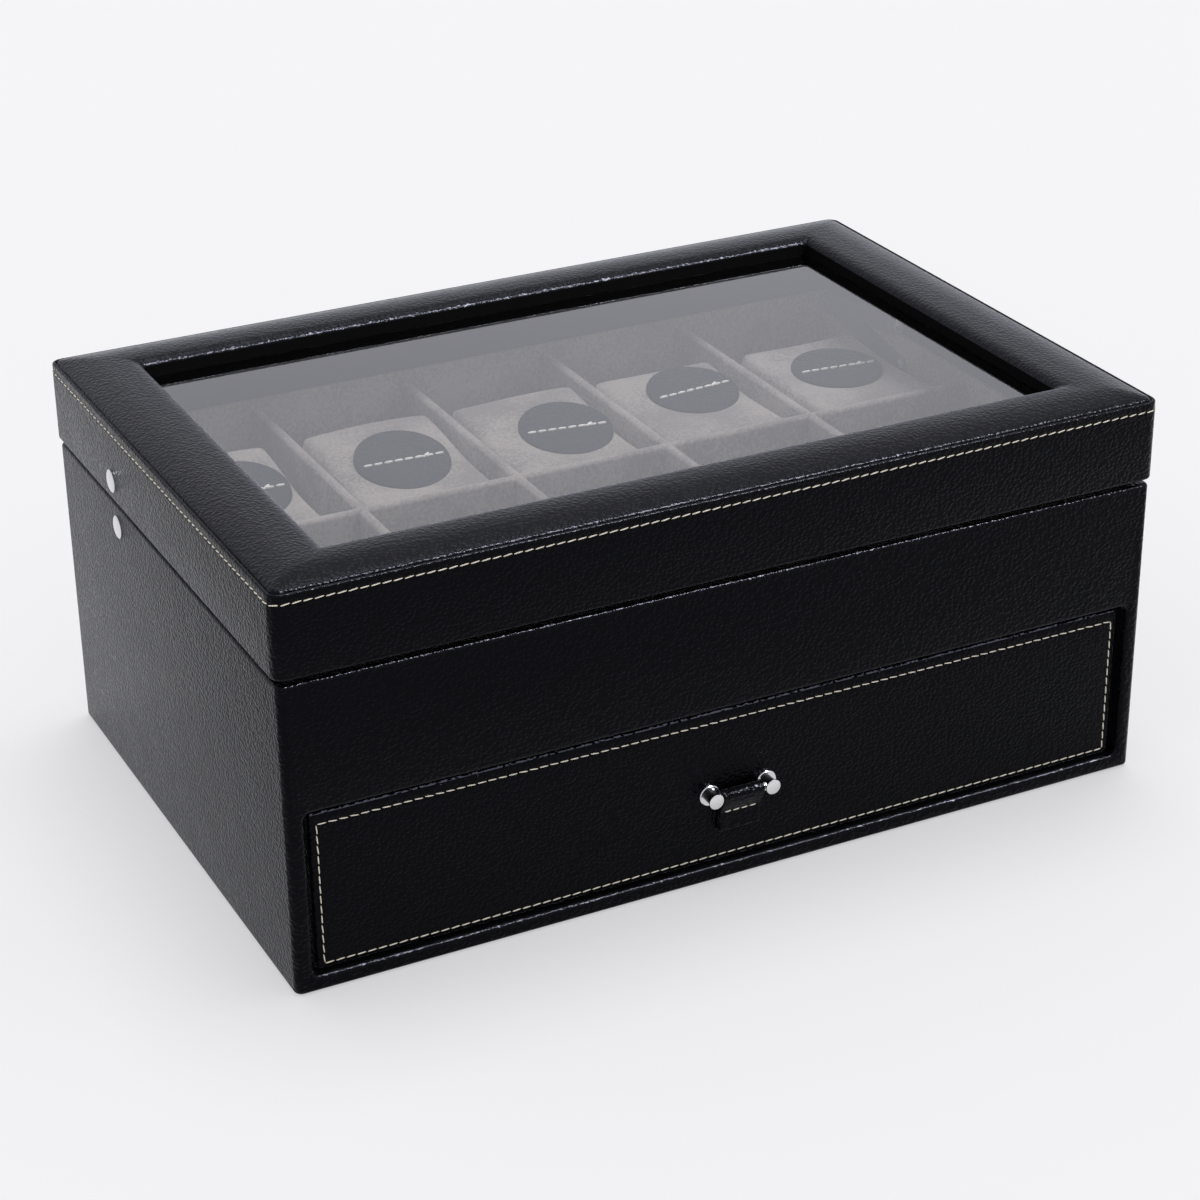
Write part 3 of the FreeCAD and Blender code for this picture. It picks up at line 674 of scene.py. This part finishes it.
# %% Cushion form
ROOM = 1.2              # left round the block for its swelling
VOXEL = 1.8             # mesh width of the simulated cover
PRESSURE = 3.0
STIFFNESS = 25
FRAMES = 14
MOST_SWELL = 1.6        # no point moves further than this
SHORTER = 4.0           # the cushion ends before the place does
TALLER = 2.5            # its crown stands above the solid's
cushion_low, cushion_high = node_box("cushion_back_3")
cushion_size = [h - l for l, h in zip(cushion_low, cushion_high)]
CROWN = cushion_size[2] + TALLER


def cushion_block(width, length, height):
    """Closed starting block for the simulation, with its foot at zero."""
    bm = bmesh.new()
    sections = [(-1.6, 0.0), (-0.4, 1.2), (0.0, 4.0), (0.3, height * 0.5)]
    sections += [(out, height - drop) for out, drop in (
        (0.3, 5.5), (0.0, 4.4), (-0.9, 3.4), (-0.6, 2.2), (-0.7, 1.2), (-1.5, 0.4), (-3.0, 0.0),
        (-12.0, -0.2))]
    loops = []
    for out, z in sections:
        out -= ROOM
        loop = rounded_loop(width / 2 + out, length / 2 + out, max(2.8 + out * 0.3, 1.6), 5)
        loops.append([level(z)(p) for p in loop])
    skin_loops(bm, loops, closed=False, capped=True)
    return finish_mesh(bm, "cushion_block", grey_velvet)


def swollen(block):
    """Remeshes a block, blows it up as cloth and returns the capped result as a mesh."""
    remesh = block.modifiers.new("remesh", "REMESH")
    remesh.mode = "VOXEL"
    remesh.voxel_size = VOXEL * MM
    mesh = applied(block)
    block.modifiers.clear()
    block.data = mesh
    cloth = block.modifiers.new("cloth", "CLOTH")
    cloth.settings.use_pressure = True
    cloth.settings.uniform_pressure_force = PRESSURE
    cloth.settings.effector_weights.gravity = 0
    cloth.settings.tension_stiffness = STIFFNESS
    cloth.settings.compression_stiffness = STIFFNESS
    for number in range(1, FRAMES + 1):
        bpy.context.scene.frame_set(number)
    blown = applied(block)
    block.modifiers.clear()
    bpy.context.scene.frame_set(1)
    for old, vertex in zip(mesh.vertices, blown.vertices):
        move = vertex.co - old.co
        if move.length > MOST_SWELL * MM:
            vertex.co = old.co + move * (MOST_SWELL * MM / move.length)
    block.data = blown
    smooth = block.modifiers.new("smooth", "CORRECTIVE_SMOOTH")
    smooth.iterations = 2
    smooth.use_only_smooth = True
    result = applied(block)
    bpy.data.objects.remove(block)
    return result


form = swollen(cushion_block(cushion_size[0], cushion_size[1] - SHORTER, cushion_size[2]))
floor_z = min(v.co.z for v in form.vertices)
for vertex in form.vertices:
    vertex.co.z = max(vertex.co.z - floor_z, 0)
tall = max(v.co.z for v in form.vertices)
broad = max(v.co.x for v in form.vertices)
for vertex in form.vertices:
    vertex.co.z *= CROWN * MM / tall
    vertex.co.x *= (cushion_size[0] / 2 + 0.5) * MM / broad
    vertex.co.y -= SHORTER / 2 * MM
print("cushion form:", len(form.vertices), "points,", round(cushion_size[2], 1), "mm high")

# %% [markdown]
# ## Cushions and leather rounds in their places
# The same form goes to ten places. On each crown a leather round is sewn by hand, so each sits at
# its own slope, a little off the middle, and the foam gives way under it. A seat lists a round's
# tilt, its shift across, back and up, and its turn.

# %% Cushions in place
ROUND = 16.25           # radius of a leather round
ROUND_THICK = 2.0       # with the padding under it
GIVE = 24               # how far round a seat the foam gives way
SEATS = {
    "back": [(15, 4.7, 0, -4.2, -2), (14, 1, -2.5, -3.1, -2), (11, 6.2, -2.8, -3.8, -6),
             (8, 5, 6, -3.4, 4), (3, 1.2, 1, -4.1, -5)],
    "front": [(9, -1, 2, -2.1, 2), (6, 1.5, -1, -2.4, 0), (3, 0.5, 1, -1.8, -3),
              (7, -2, 0, -2.3, 0), (1, 1, 2, -1.5, 2)],
}


def settled(point, seat):
    """Moves a point of the form as the crown under a tipped round settles."""
    tilt, dx, dy, dz, _ = seat
    share = max(point.z / (CROWN * MM), 0) ** 3
    across = (point.x / MM - dx) / GIVE
    along = point.y / MM - dy
    middle = math.exp(-across * across)
    slope = math.tan(math.radians(tilt)) * 15 * math.tanh(along / 15) * (0.25 + 0.75 * middle)
    dent = dz * middle * math.exp(-(along / GIVE) ** 2)
    return Vector((point.x, point.y, point.z + (slope + dent) * share * MM))


def cushion_piece(row, column):
    """One swollen cushion, settled for its place."""
    name = "cushion_%s_%d" % (row, column)
    low, high = node_box(name)
    centre = Vector(((low[0] + high[0]) / 2, (low[1] + high[1]) / 2, low[2])) * MM
    mesh = form.copy()
    mesh.name = name + "_velvet"
    for vertex in mesh.vertices:
        vertex.co = settled(vertex.co, SEATS[row][column - 1]) + centre
    mesh.materials.clear()
    mesh.materials.append(grey_velvet)
    mesh.shade_smooth()
    piece = placed(name + "_velvet", mesh)
    replace_node(piece, name, "velvet", name)
    return piece, centre


def round_piece(row, column, cushion, centre):
    """Leather round on the crown of a cushion, and the place and turn of its stitches."""
    tilt, dx, dy, _, yaw = SEATS[row][column - 1]
    tree = BVHTree.FromPolygons([v.co for v in cushion.data.vertices],
                                [p.vertices for p in cushion.data.polygons])
    spot = centre + Vector((dx, dy, 0)) * MM
    heights = []
    for step in range(8):
        a = math.pi / 4 * step
        reach = Vector((math.cos(a), math.sin(a), 0)) * ROUND * 0.7 * MM
        hit = tree.ray_cast(spot + reach + Vector((0, 0, 0.1)), Vector((0, 0, -1)))
        heights.append(hit[0].z)
    middle = Vector((spot.x, spot.y, sum(heights) / len(heights))) / MM
    turn = Matrix.Rotation(math.radians(tilt), 3, "X") @ Matrix.Rotation(math.radians(yaw), 3, "Z")
    profile = [(-1.2, ROUND - 1.2), (-1.2, ROUND - 0.4), (0.3, ROUND), (ROUND_THICK * 0.6, ROUND),
               (ROUND_THICK * 0.88, ROUND - 0.25), (ROUND_THICK, ROUND - 0.8),
               (ROUND_THICK + 0.1, ROUND * 0.5)]
    name = "round_%s_%d" % (row, column)
    piece = lathe(name + "_leather", profile, middle, turn, round_leather, 64, 60)
    replace_node(piece, "cushion_%s_%d" % (row, column), "leatherette", name)
    return middle, turn


round_leather = leatherette("embossed_leatherette_rounds", "#252b2e", 0.45, grain=1.0)
seats = {}
for row in ("back", "front"):
    for column in range(1, 6):
        cushion, centre = cushion_piece(row, column)
        seats[row, column] = round_piece(row, column, cushion, centre)
print("cushions:", len(seats))

# %% [markdown]
# ## Stitches
# A stitch is a short bow of thread that dips into the leather at both ends. The same stitch repeats
# hundreds of times along a line, so a geometry node tree lays it: a path, a pitch, a stitch length
# and a thickness go in, and the stitches come out as real mesh. The machine never lays two
# quite alike, so each turns by a degree or two, from a fixed seed.

# %% Stitch tree
def named_inputs(tree, sockets):
    """Gives a geometry tree its named inputs and its output, and returns the inputs."""
    for name, kind, value in sockets:
        socket = tree.interface.new_socket(name, in_out="INPUT", socket_type="NodeSocket" + kind)
        if value is not None:
            socket.default_value = value
    tree.interface.new_socket("Geometry", in_out="OUTPUT", socket_type="NodeSocketGeometry")
    return add(tree, "NodeGroupInput").outputs


def stitch_tree():
    """Node tree that lays stitches along the edges of a mesh."""
    tree = bpy.data.node_groups.new("lay_stitches", "GeometryNodeTree")
    given = named_inputs(tree, [
        ("Geometry", "Geometry", None), ("Pitch", "Float", STITCH_PITCH * MM),
        ("Length", "Float", STITCH_LENGTH * MM), ("Thickness", "Float", THREAD * MM),
        ("Slant", "Float", 0.0), ("Yaw", "Float", 0.0), ("Wander", "Float", math.radians(2.5)),
        ("Seed", "Int", 7), ("Thread", "Material", None)])
    path = add(tree, "GeometryNodeMeshToCurve", {"Mesh": given["Geometry"]})
    dots = add(tree, "GeometryNodeCurveToPoints",
               {"Curve": path.outputs[0], "Length": given["Pitch"]}, mode="LENGTH")
    aim = add(tree, "FunctionNodeAlignRotationToVector", {"Vector": dots.outputs["Tangent"]},
              axis="X")
    stray = add(tree, "ShaderNodeMath", {0: given["Wander"], 1: -1.0}, operation="MULTIPLY")
    chance = add(tree, "FunctionNodeRandomValue", {2: stray.outputs[0], 3: given["Wander"],
                                                   "Seed": given["Seed"]})
    turns = {axis: add(tree, "ShaderNodeMath", {0: chance.outputs[1], 1: given[name]},
                       operation="ADD").outputs[0] for axis, name in (("Y", "Slant"), ("Z", "Yaw"))}
    angles = add(tree, "ShaderNodeCombineXYZ", turns)
    change = add(tree, "FunctionNodeEulerToRotation", {0: angles.outputs[0]})
    swing = add(tree, "FunctionNodeRotateRotation",
                {"Rotation": aim.outputs[0], "Rotate By": change.outputs[0]}, rotation_space="LOCAL")
    ball = add(tree, "GeometryNodeMeshUVSphere", {"Segments": 8, "Rings": 7, "Radius": 0.5})
    spot = add(tree, "GeometryNodeInputPosition").outputs[0]
    part = add(tree, "ShaderNodeSeparateXYZ", {0: spot})
    girth = add(tree, "ShaderNodeMath", {0: part.outputs["Z"], 1: part.outputs["Z"]},
                operation="MULTIPLY")
    fuller = add(tree, "ShaderNodeMath", {0: girth.outputs[0], 1: 1.4, 2: 1.0},
                 operation="MULTIPLY_ADD")
    wide = add(tree, "ShaderNodeMath", {0: given["Thickness"], 1: fuller.outputs[0]},
               operation="MULTIPLY")
    sizes = {to: add(tree, "ShaderNodeMath", {0: part.outputs[of], 1: size},
                     operation="MULTIPLY").outputs[0]
             for to, of, size in (("X", "Z", given["Length"]), ("Y", "X", wide.outputs[0]),
                                  ("Z", "Y", wide.outputs[0]))}
    shaped = add(tree, "ShaderNodeCombineXYZ", sizes)
    one = add(tree, "GeometryNodeSetPosition", {"Geometry": ball.outputs[0],
                                                "Position": shaped.outputs[0]})
    laid = add(tree, "GeometryNodeInstanceOnPoints",
               {"Points": dots.outputs["Points"], "Instance": one.outputs[0],
                "Rotation": swing.outputs[0]})
    real = add(tree, "GeometryNodeRealizeInstances", {0: laid.outputs[0]})
    soft = add(tree, "GeometryNodeSetShadeSmooth", {0: real.outputs[0]})
    coloured = add(tree, "GeometryNodeSetMaterial", {"Geometry": soft.outputs[0],
                                                     "Material": given["Thread"]})
    add(tree, "NodeGroupOutput", {0: coloured.outputs[0]})
    return tree


sewing = stitch_tree()


def grown(name, points, edges, tree, values):
    """Mesh that a node tree makes on points and edges in metres, with its inputs set."""
    mesh = bpy.data.meshes.new(name)
    mesh.from_pydata(points, edges, [])
    guide = placed(name + "_guide", mesh)
    modifier = guide.modifiers.new("nodes", "NODES")
    modifier.node_group = tree
    for item in tree.interface.items_tree:
        if item.in_out == "INPUT" and item.name in values:
            modifier[item.identifier] = values[item.name]
    made = applied(guide)
    bpy.data.objects.remove(guide)
    return made


def sew(name, runs, body, pitch=STITCH_PITCH, length=STITCH_LENGTH, thick=THREAD, seed=7,
        slant=0.0, yaw=0.0, yarn=thread):
    """Stitches along runs of millimetre points, as one mesh that rides on a body."""
    points, edges = [], []
    for run in runs:
        first = len(points)
        points += [[c * MM for c in p] for p in run]
        edges += [(i, i + 1) for i in range(first, len(points) - 1)]
    sewn = grown(name, points, edges, sewing, {
        "Pitch": pitch * MM, "Length": length * MM, "Thickness": thick * MM,
        "Slant": math.radians(slant), "Yaw": math.radians(yaw), "Seed": seed, "Thread": yarn})
    replace_node(placed(name, sewn), body, "thread")
    print(name, len(sewn.polygons), "faces")


# %% [markdown]
# ## Seams
# The lid's seam runs all round the skirt, over its rounded corners. The drawer's is a rectangle of
# four runs that meet in sharp corners. Each round has one short row across it, by which it is sewn
# to the cushion, with a snipped thread end at the right.

# %% Seams
def drawer_runs():
    """Four straight runs just inside the drawer front's edges."""
    y = front_low[1] + 0.1
    x = front_high[0] - STITCH_INSET
    low = front_low[2] + SEAM_FOOT_INSET
    high = front_high[2] - SEAM_TOP_INSET
    half = STITCH_PITCH / 2
    return [[(-x + half, y, low), (x - half, y, low)], [(x, y, low + half), (x, y, high - half)],
            [(x - half, y, high), (-x + half, y, high)],
            [(-x, y, high - half), (-x, y, low + half)]]


def skirt_run():
    """Closed run round the lid's skirt."""
    out = -0.08
    loop = rounded_loop(lid_high[0] + out, lid_high[1] + out, LID_CORNER + out, 8)
    loop = [(x, y, SEAM_Z) for x, y in loop]
    return loop + loop[:1]


sew("lid_seam_stitches", [skirt_run()], "lid", slant=-7)
sew("drawer_seam_stitches", drawer_runs(), "drawer", seed=11, slant=-4)
for (row, column), (middle, turn) in seats.items():
    runs = []
    for start, end in (((-12.6, -1.2), (12.6, -1.2)), ((8.0, -0.8), (10.4, 0.9))):
        ends = [Vector((x, y, ROUND_THICK + 0.3)) for x, y in (start, end)]
        runs.append([turn @ p + middle for p in ends])
    sew("round_stitches_%s_%d" % (row, column), runs, "cushion_%s_%d" % (row, column),
        pitch=3.3, length=3.2, thick=1.0, seed=20 + column, yaw=2, yarn=white_thread)

# %% [markdown]
# ## Rivets
# The stays turn on rivets whose flat heads show outside. Nickel-plated heads have a slightly
# rolled rim, without which they would look like paper discs. They are turned shapes, so the lathe
# helper makes them from the same radii as the frame.

# %% Rivets
def rivet_pair(body, node, inner):
    """Both rivets of a frame node, with rolled rims, from the head to the inner end."""
    low, high = node_box(node)
    y, z = [(l + h) / 2 for l, h in zip(low[1:], high[1:])]
    head = (high[1] - low[1]) / 2
    outside = high[0]
    profile = [(outside, head - 1.2), (outside - 0.12, head - 0.5), (outside - 0.45, head),
               (outside - 1.0, head), (outside - 1.0, 1.5), (inner, 1.5), (inner, 2.45),
               (inner - 0.2, 2.6), (inner - 0.8, 2.6), (inner - 1.0, 2.3)]
    pair = [lathe("rivet", profile, (0, y, z), toward((side, 0, 0)), nickel) for side in (-1, 1)]
    replace_node(merged(pair, node + "_plated"), body, "nickel", node)


rivet_pair("case", "case_rivets", 142.45)
rivet_pair("lid", "lid_rivets", 141.15)
print("rivets: 4")

# %% [markdown]
# ## Pull
# Two turned posts stand on the drawer's front, each with a plated foot and end disc and a neck
# between them in near-black steel, a painted dark reflection. A strip of the same leather is
# folded over the bar, sewn to itself under it with four stitches, and hangs flat. It is one
# section, drawn across the tab's width.

# %% Pull
pull_low, pull_high = node_box("pull_posts")
tab_low, tab_high = node_box("pull_tab")
POST_X = 10.1           # posts from the middle
REACH = 3.1             # bar's axis in front of the drawer
BAR = (front_low[1] - REACH, (pull_low[2] + pull_high[2]) / 2)
TAB_LEATHER = 0.9
TAB_BORE = 1.25
FLAT = TAB_LEATHER * 0.95   # half the sewn part's thickness
TAB_SEAM = 6.3          # row of stitches below the bar


def post_pair(name, profile, material):
    """A turned shape on both posts."""
    pair = [lathe("post", profile, (side * POST_X, front_low[1], BAR[1]), toward((0, 1, 0)),
                  material) for side in (-1, 1)]
    return merged(pair, name)


def pull_posts():
    """Both turned posts, from the shank to the end disc, and their necks in near-black steel as
    painted dark reflection.
    """
    profile = [(5.8, 1.3), (0.0, 1.3), (0.0, 3.3), (-0.15, 3.5), (-0.7, 3.5), (-0.9, 3.3),
               (-0.95, 1.3), (-4.55, 1.3), (-4.6, 2.3), (-4.75, 2.5), (-5.2, 2.5), (-5.4, 2.25)]
    # Painted dark reflection: the neck between foot and disc is a near-black sleeve.
    neck = [(-0.92, 1.75), (-0.98, 2.0), (-4.5, 2.0), (-4.58, 1.75)]
    posts = post_pair("pull_posts_plated", profile, nickel)
    replace_node(posts, "drawer", "nickel", "pull_posts")
    replace_node(post_pair("pull_post_necks_painted_dark", neck, painted_dark_reflection_steel), "drawer", "steel")


def tab_section():
    """Section of the folded tab, before it leans, as outer and inner points about the bar."""
    loop = TAB_BORE + TAB_LEATHER
    drop = BAR[1] - tab_low[2]
    outer = []
    for step in range(13):
        a = math.radians(200 - 220 * step / 12)
        outer.append((loop * math.cos(a), loop * math.sin(a)))
    outer += [(1.75, -3.3), (FLAT, -6.0), (FLAT, -drop + 0.7), (FLAT, -drop + 0.2),
              (FLAT * 0.8, -drop), (-FLAT * 0.8, -drop), (-FLAT, -drop + 0.2),
              (-FLAT, -drop + 0.7), (-FLAT, -7.2), (-FLAT, -6.4), (-1.15, -5.2), (-1.75, -3.3),
              (-2.15, -1.5)]
    return outer


def pull_tab():
    """Folded strip with softly rounded edges, leaning back to the drawer."""
    reach = REACH - TAB_LEATHER - 0.3
    half = tab_high[0]
    bm = bmesh.new()
    loops = []
    for x, share in ((-half, 0.94), (-half + 0.12, 1.0), (-half + 0.5, 1.0), (half - 0.5, 1.0),
                     (half - 0.12, 1.0), (half, 0.94)):
        loop = []
        for y, z in tab_section():
            back = reach * min(max(-z / 6.2, 0), 1)
            z = z if z > -8 else -8 + (z + 8) * (0.8 + share * 0.2)
            loop.append((x, BAR[0] + y * share + back, BAR[1] + z))
        loops.append(loop)
    skin_loops(bm, loops, closed=False, capped=True)
    tab = finish_mesh(bm, "pull_tab_leather", wrap, angle=50)
    replace_node(tab, "pull_tab", "leatherette", "pull_tab")
    y, z = BAR[0] + reach - FLAT - 0.08, BAR[1] - TAB_SEAM
    sew("pull_tab_stitches", [[(-4.4, y, z), (4.4, y, z)]], "pull_tab",
        pitch=2.9, length=2.2, thick=0.5, seed=31, slant=-4)


pull_posts()
pull_tab()
print("pull: bar at", [round(c, 1) for c in BAR])

# %% [markdown]
# ## Hinge screws
# Small countersunk screws hold the leaves. They repeat on both leaves of both hinges, so they are
# instances of one turned head with a cross recess, laid on points by a node tree.

# %% Hinge screws
LEAF = 0.9              # thickness of a hinge's leaf
SCREW_LINE = 98.1       # the screws' line, from the middle of the case


def screw_tree():
    """Node tree that sets a screw head with a cross recess on each point of a mesh."""
    tree = bpy.data.node_groups.new("set_screws", "GeometryNodeTree")
    given = named_inputs(tree, [
        ("Geometry", "Geometry", None), ("Radius", "Float", 1.5 * MM),
        ("Depth", "Float", 0.5 * MM), ("Finish", "Material", None)])
    head = add(tree, "GeometryNodeMeshCylinder", {"Vertices": 28, "Radius": given["Radius"],
                                                  "Depth": given["Depth"]})
    arms = []
    for size in ((1.9, 0.42, 0.5), (0.42, 1.9, 0.5)):
        bar = add(tree, "GeometryNodeMeshCube", {"Size": [c * MM for c in size]})
        arms.append(add(tree, "GeometryNodeTransform", {"Geometry": bar.outputs[0],
                                                        "Translation": (0, 0, 0.3 * MM)}))
    cut = add(tree, "GeometryNodeMeshBoolean",
              {"Mesh 1": head.outputs[0], "Mesh 2": arms[0].outputs[0]}, operation="DIFFERENCE")
    tree.links.new(arms[1].outputs[0], cut.inputs["Mesh 2"])
    laid = add(tree, "GeometryNodeInstanceOnPoints", {"Points": given["Geometry"],
                                                      "Instance": cut.outputs[0]})
    real = add(tree, "GeometryNodeRealizeInstances", {0: laid.outputs[0]})
    painted = add(tree, "GeometryNodeSetMaterial", {"Geometry": real.outputs[0],
                                                    "Material": given["Finish"]})
    add(tree, "NodeGroupOutput", {0: painted.outputs[0]})
    return tree


def hinge_screws(name, body, z, up):
    """The six screw heads of one side of both hinges, flush in their leaves."""
    spots = [((side * 95.0 + step * 8.5) * MM, 0, 0) for side in (-1, 1) for step in (-1, 0, 1)]
    made = grown(name, spots, [], screws, {"Finish": steel})
    made.transform(Matrix.Diagonal((1, up, up, 1)))
    made.transform(Matrix.Translation(Vector((0, SCREW_LINE, z - up * 0.2)) * MM))
    replace_node(placed(name, made), body, "steel")
    print(name, len(made.polygons), "faces")


screws = screw_tree()
hinge_screws("hinge_screws_case", "case", case_high[2] + LEAF, 1)
hinge_screws("hinge_screws_lid", "lid", lid_low[2] - LEAF, -1)

# %% [markdown]
# ## Floor, backdrop and light
# The valet stands on a plain pale sweep in a white room. A broad soft lamp hangs overhead, and a
# small one at the right front only sparks along the rolled edges of the leather.

# %% Floor, backdrop and light
def seen_rays(tree):
    """One for rays that see a surface directly, in a mirror or through glass."""
    rays = add(tree, "ShaderNodeLightPath").outputs
    seen = add(tree, "ShaderNodeMath", {0: rays["Is Camera Ray"], 1: rays["Is Glossy Ray"]},
               operation="MAXIMUM")
    return add(tree, "ShaderNodeMath", {0: seen.outputs[0], 1: rays["Is Transmission Ray"]},
               operation="MAXIMUM").outputs[0]


def pale_floor(name):
    """Plain pale paper sweep that shows its own colour and keeps the shadow."""
    material, tree = blank_material(name)
    paper_white = add(tree, "ShaderNodeBsdfDiffuse", {"Color": linear("#ebebed")})
    glow = add(tree, "ShaderNodeEmission", {"Color": linear("#fbfbfd"), "Strength": 1.0})
    seen = add(tree, "ShaderNodeMath", {0: seen_rays(tree), 1: 0.45}, operation="MULTIPLY")
    sweep = add(tree, "ShaderNodeMixShader", {0: seen.outputs[0], 1: paper_white.outputs[0],
                                              2: glow.outputs[0]})
    add(tree, "ShaderNodeOutputMaterial", {"Surface": sweep.outputs[0]})
    return material


bm = bmesh.new()
bmesh.ops.create_grid(bm, x_segments=2, y_segments=2, size=6.0)
ground = finish_mesh(bm, "floor", pale_floor("paper_sweep_pale"))
if ground.data.polygons[0].normal.z < 0:
    ground.data.flip_normals()

world = bpy.data.worlds.new("studio")
bpy.context.scene.world = world
world.use_nodes = True
world.node_tree.nodes.clear()
rays = add(world.node_tree, "ShaderNodeLightPath").outputs
strength = add(world.node_tree, "ShaderNodeMapRange", {"Value": seen_rays(world.node_tree),
                                                       "To Min": 0.62, "To Max": 0.9})
tone = add(world.node_tree, "ShaderNodeMix", {0: rays["Is Glossy Ray"], 6: linear("#fefdfe"),
                                              7: linear("#f4f5ff")}, data_type="RGBA")
sky = add(world.node_tree, "ShaderNodeBackground", {"Color": tone.outputs[2],
                                                    "Strength": strength.outputs["Result"]})
add(world.node_tree, "ShaderNodeOutputWorld", {"Surface": sky.outputs[0]})


def overhead(name, direction, spread, power, matt=True):
    """Distant round lamp that shines from a direction; if not matt, it only sparks in gloss."""
    lamp = bpy.data.lights.new(name, "SUN")
    lamp.angle = math.radians(spread)
    lamp.energy = power
    holder = placed(name, lamp)
    holder.rotation_euler = Vector(direction).to_track_quat("Z", "Y").to_euler()
    holder.visible_diffuse = matt


overhead("softbox_overhead", (0.12, 0.15, 1.0), 34, 1.4)
overhead("spark_front", (0.42, -0.5, 0.78), 8, 6.0, matt=False)

bpy.context.scene.view_settings.view_transform = "Standard"
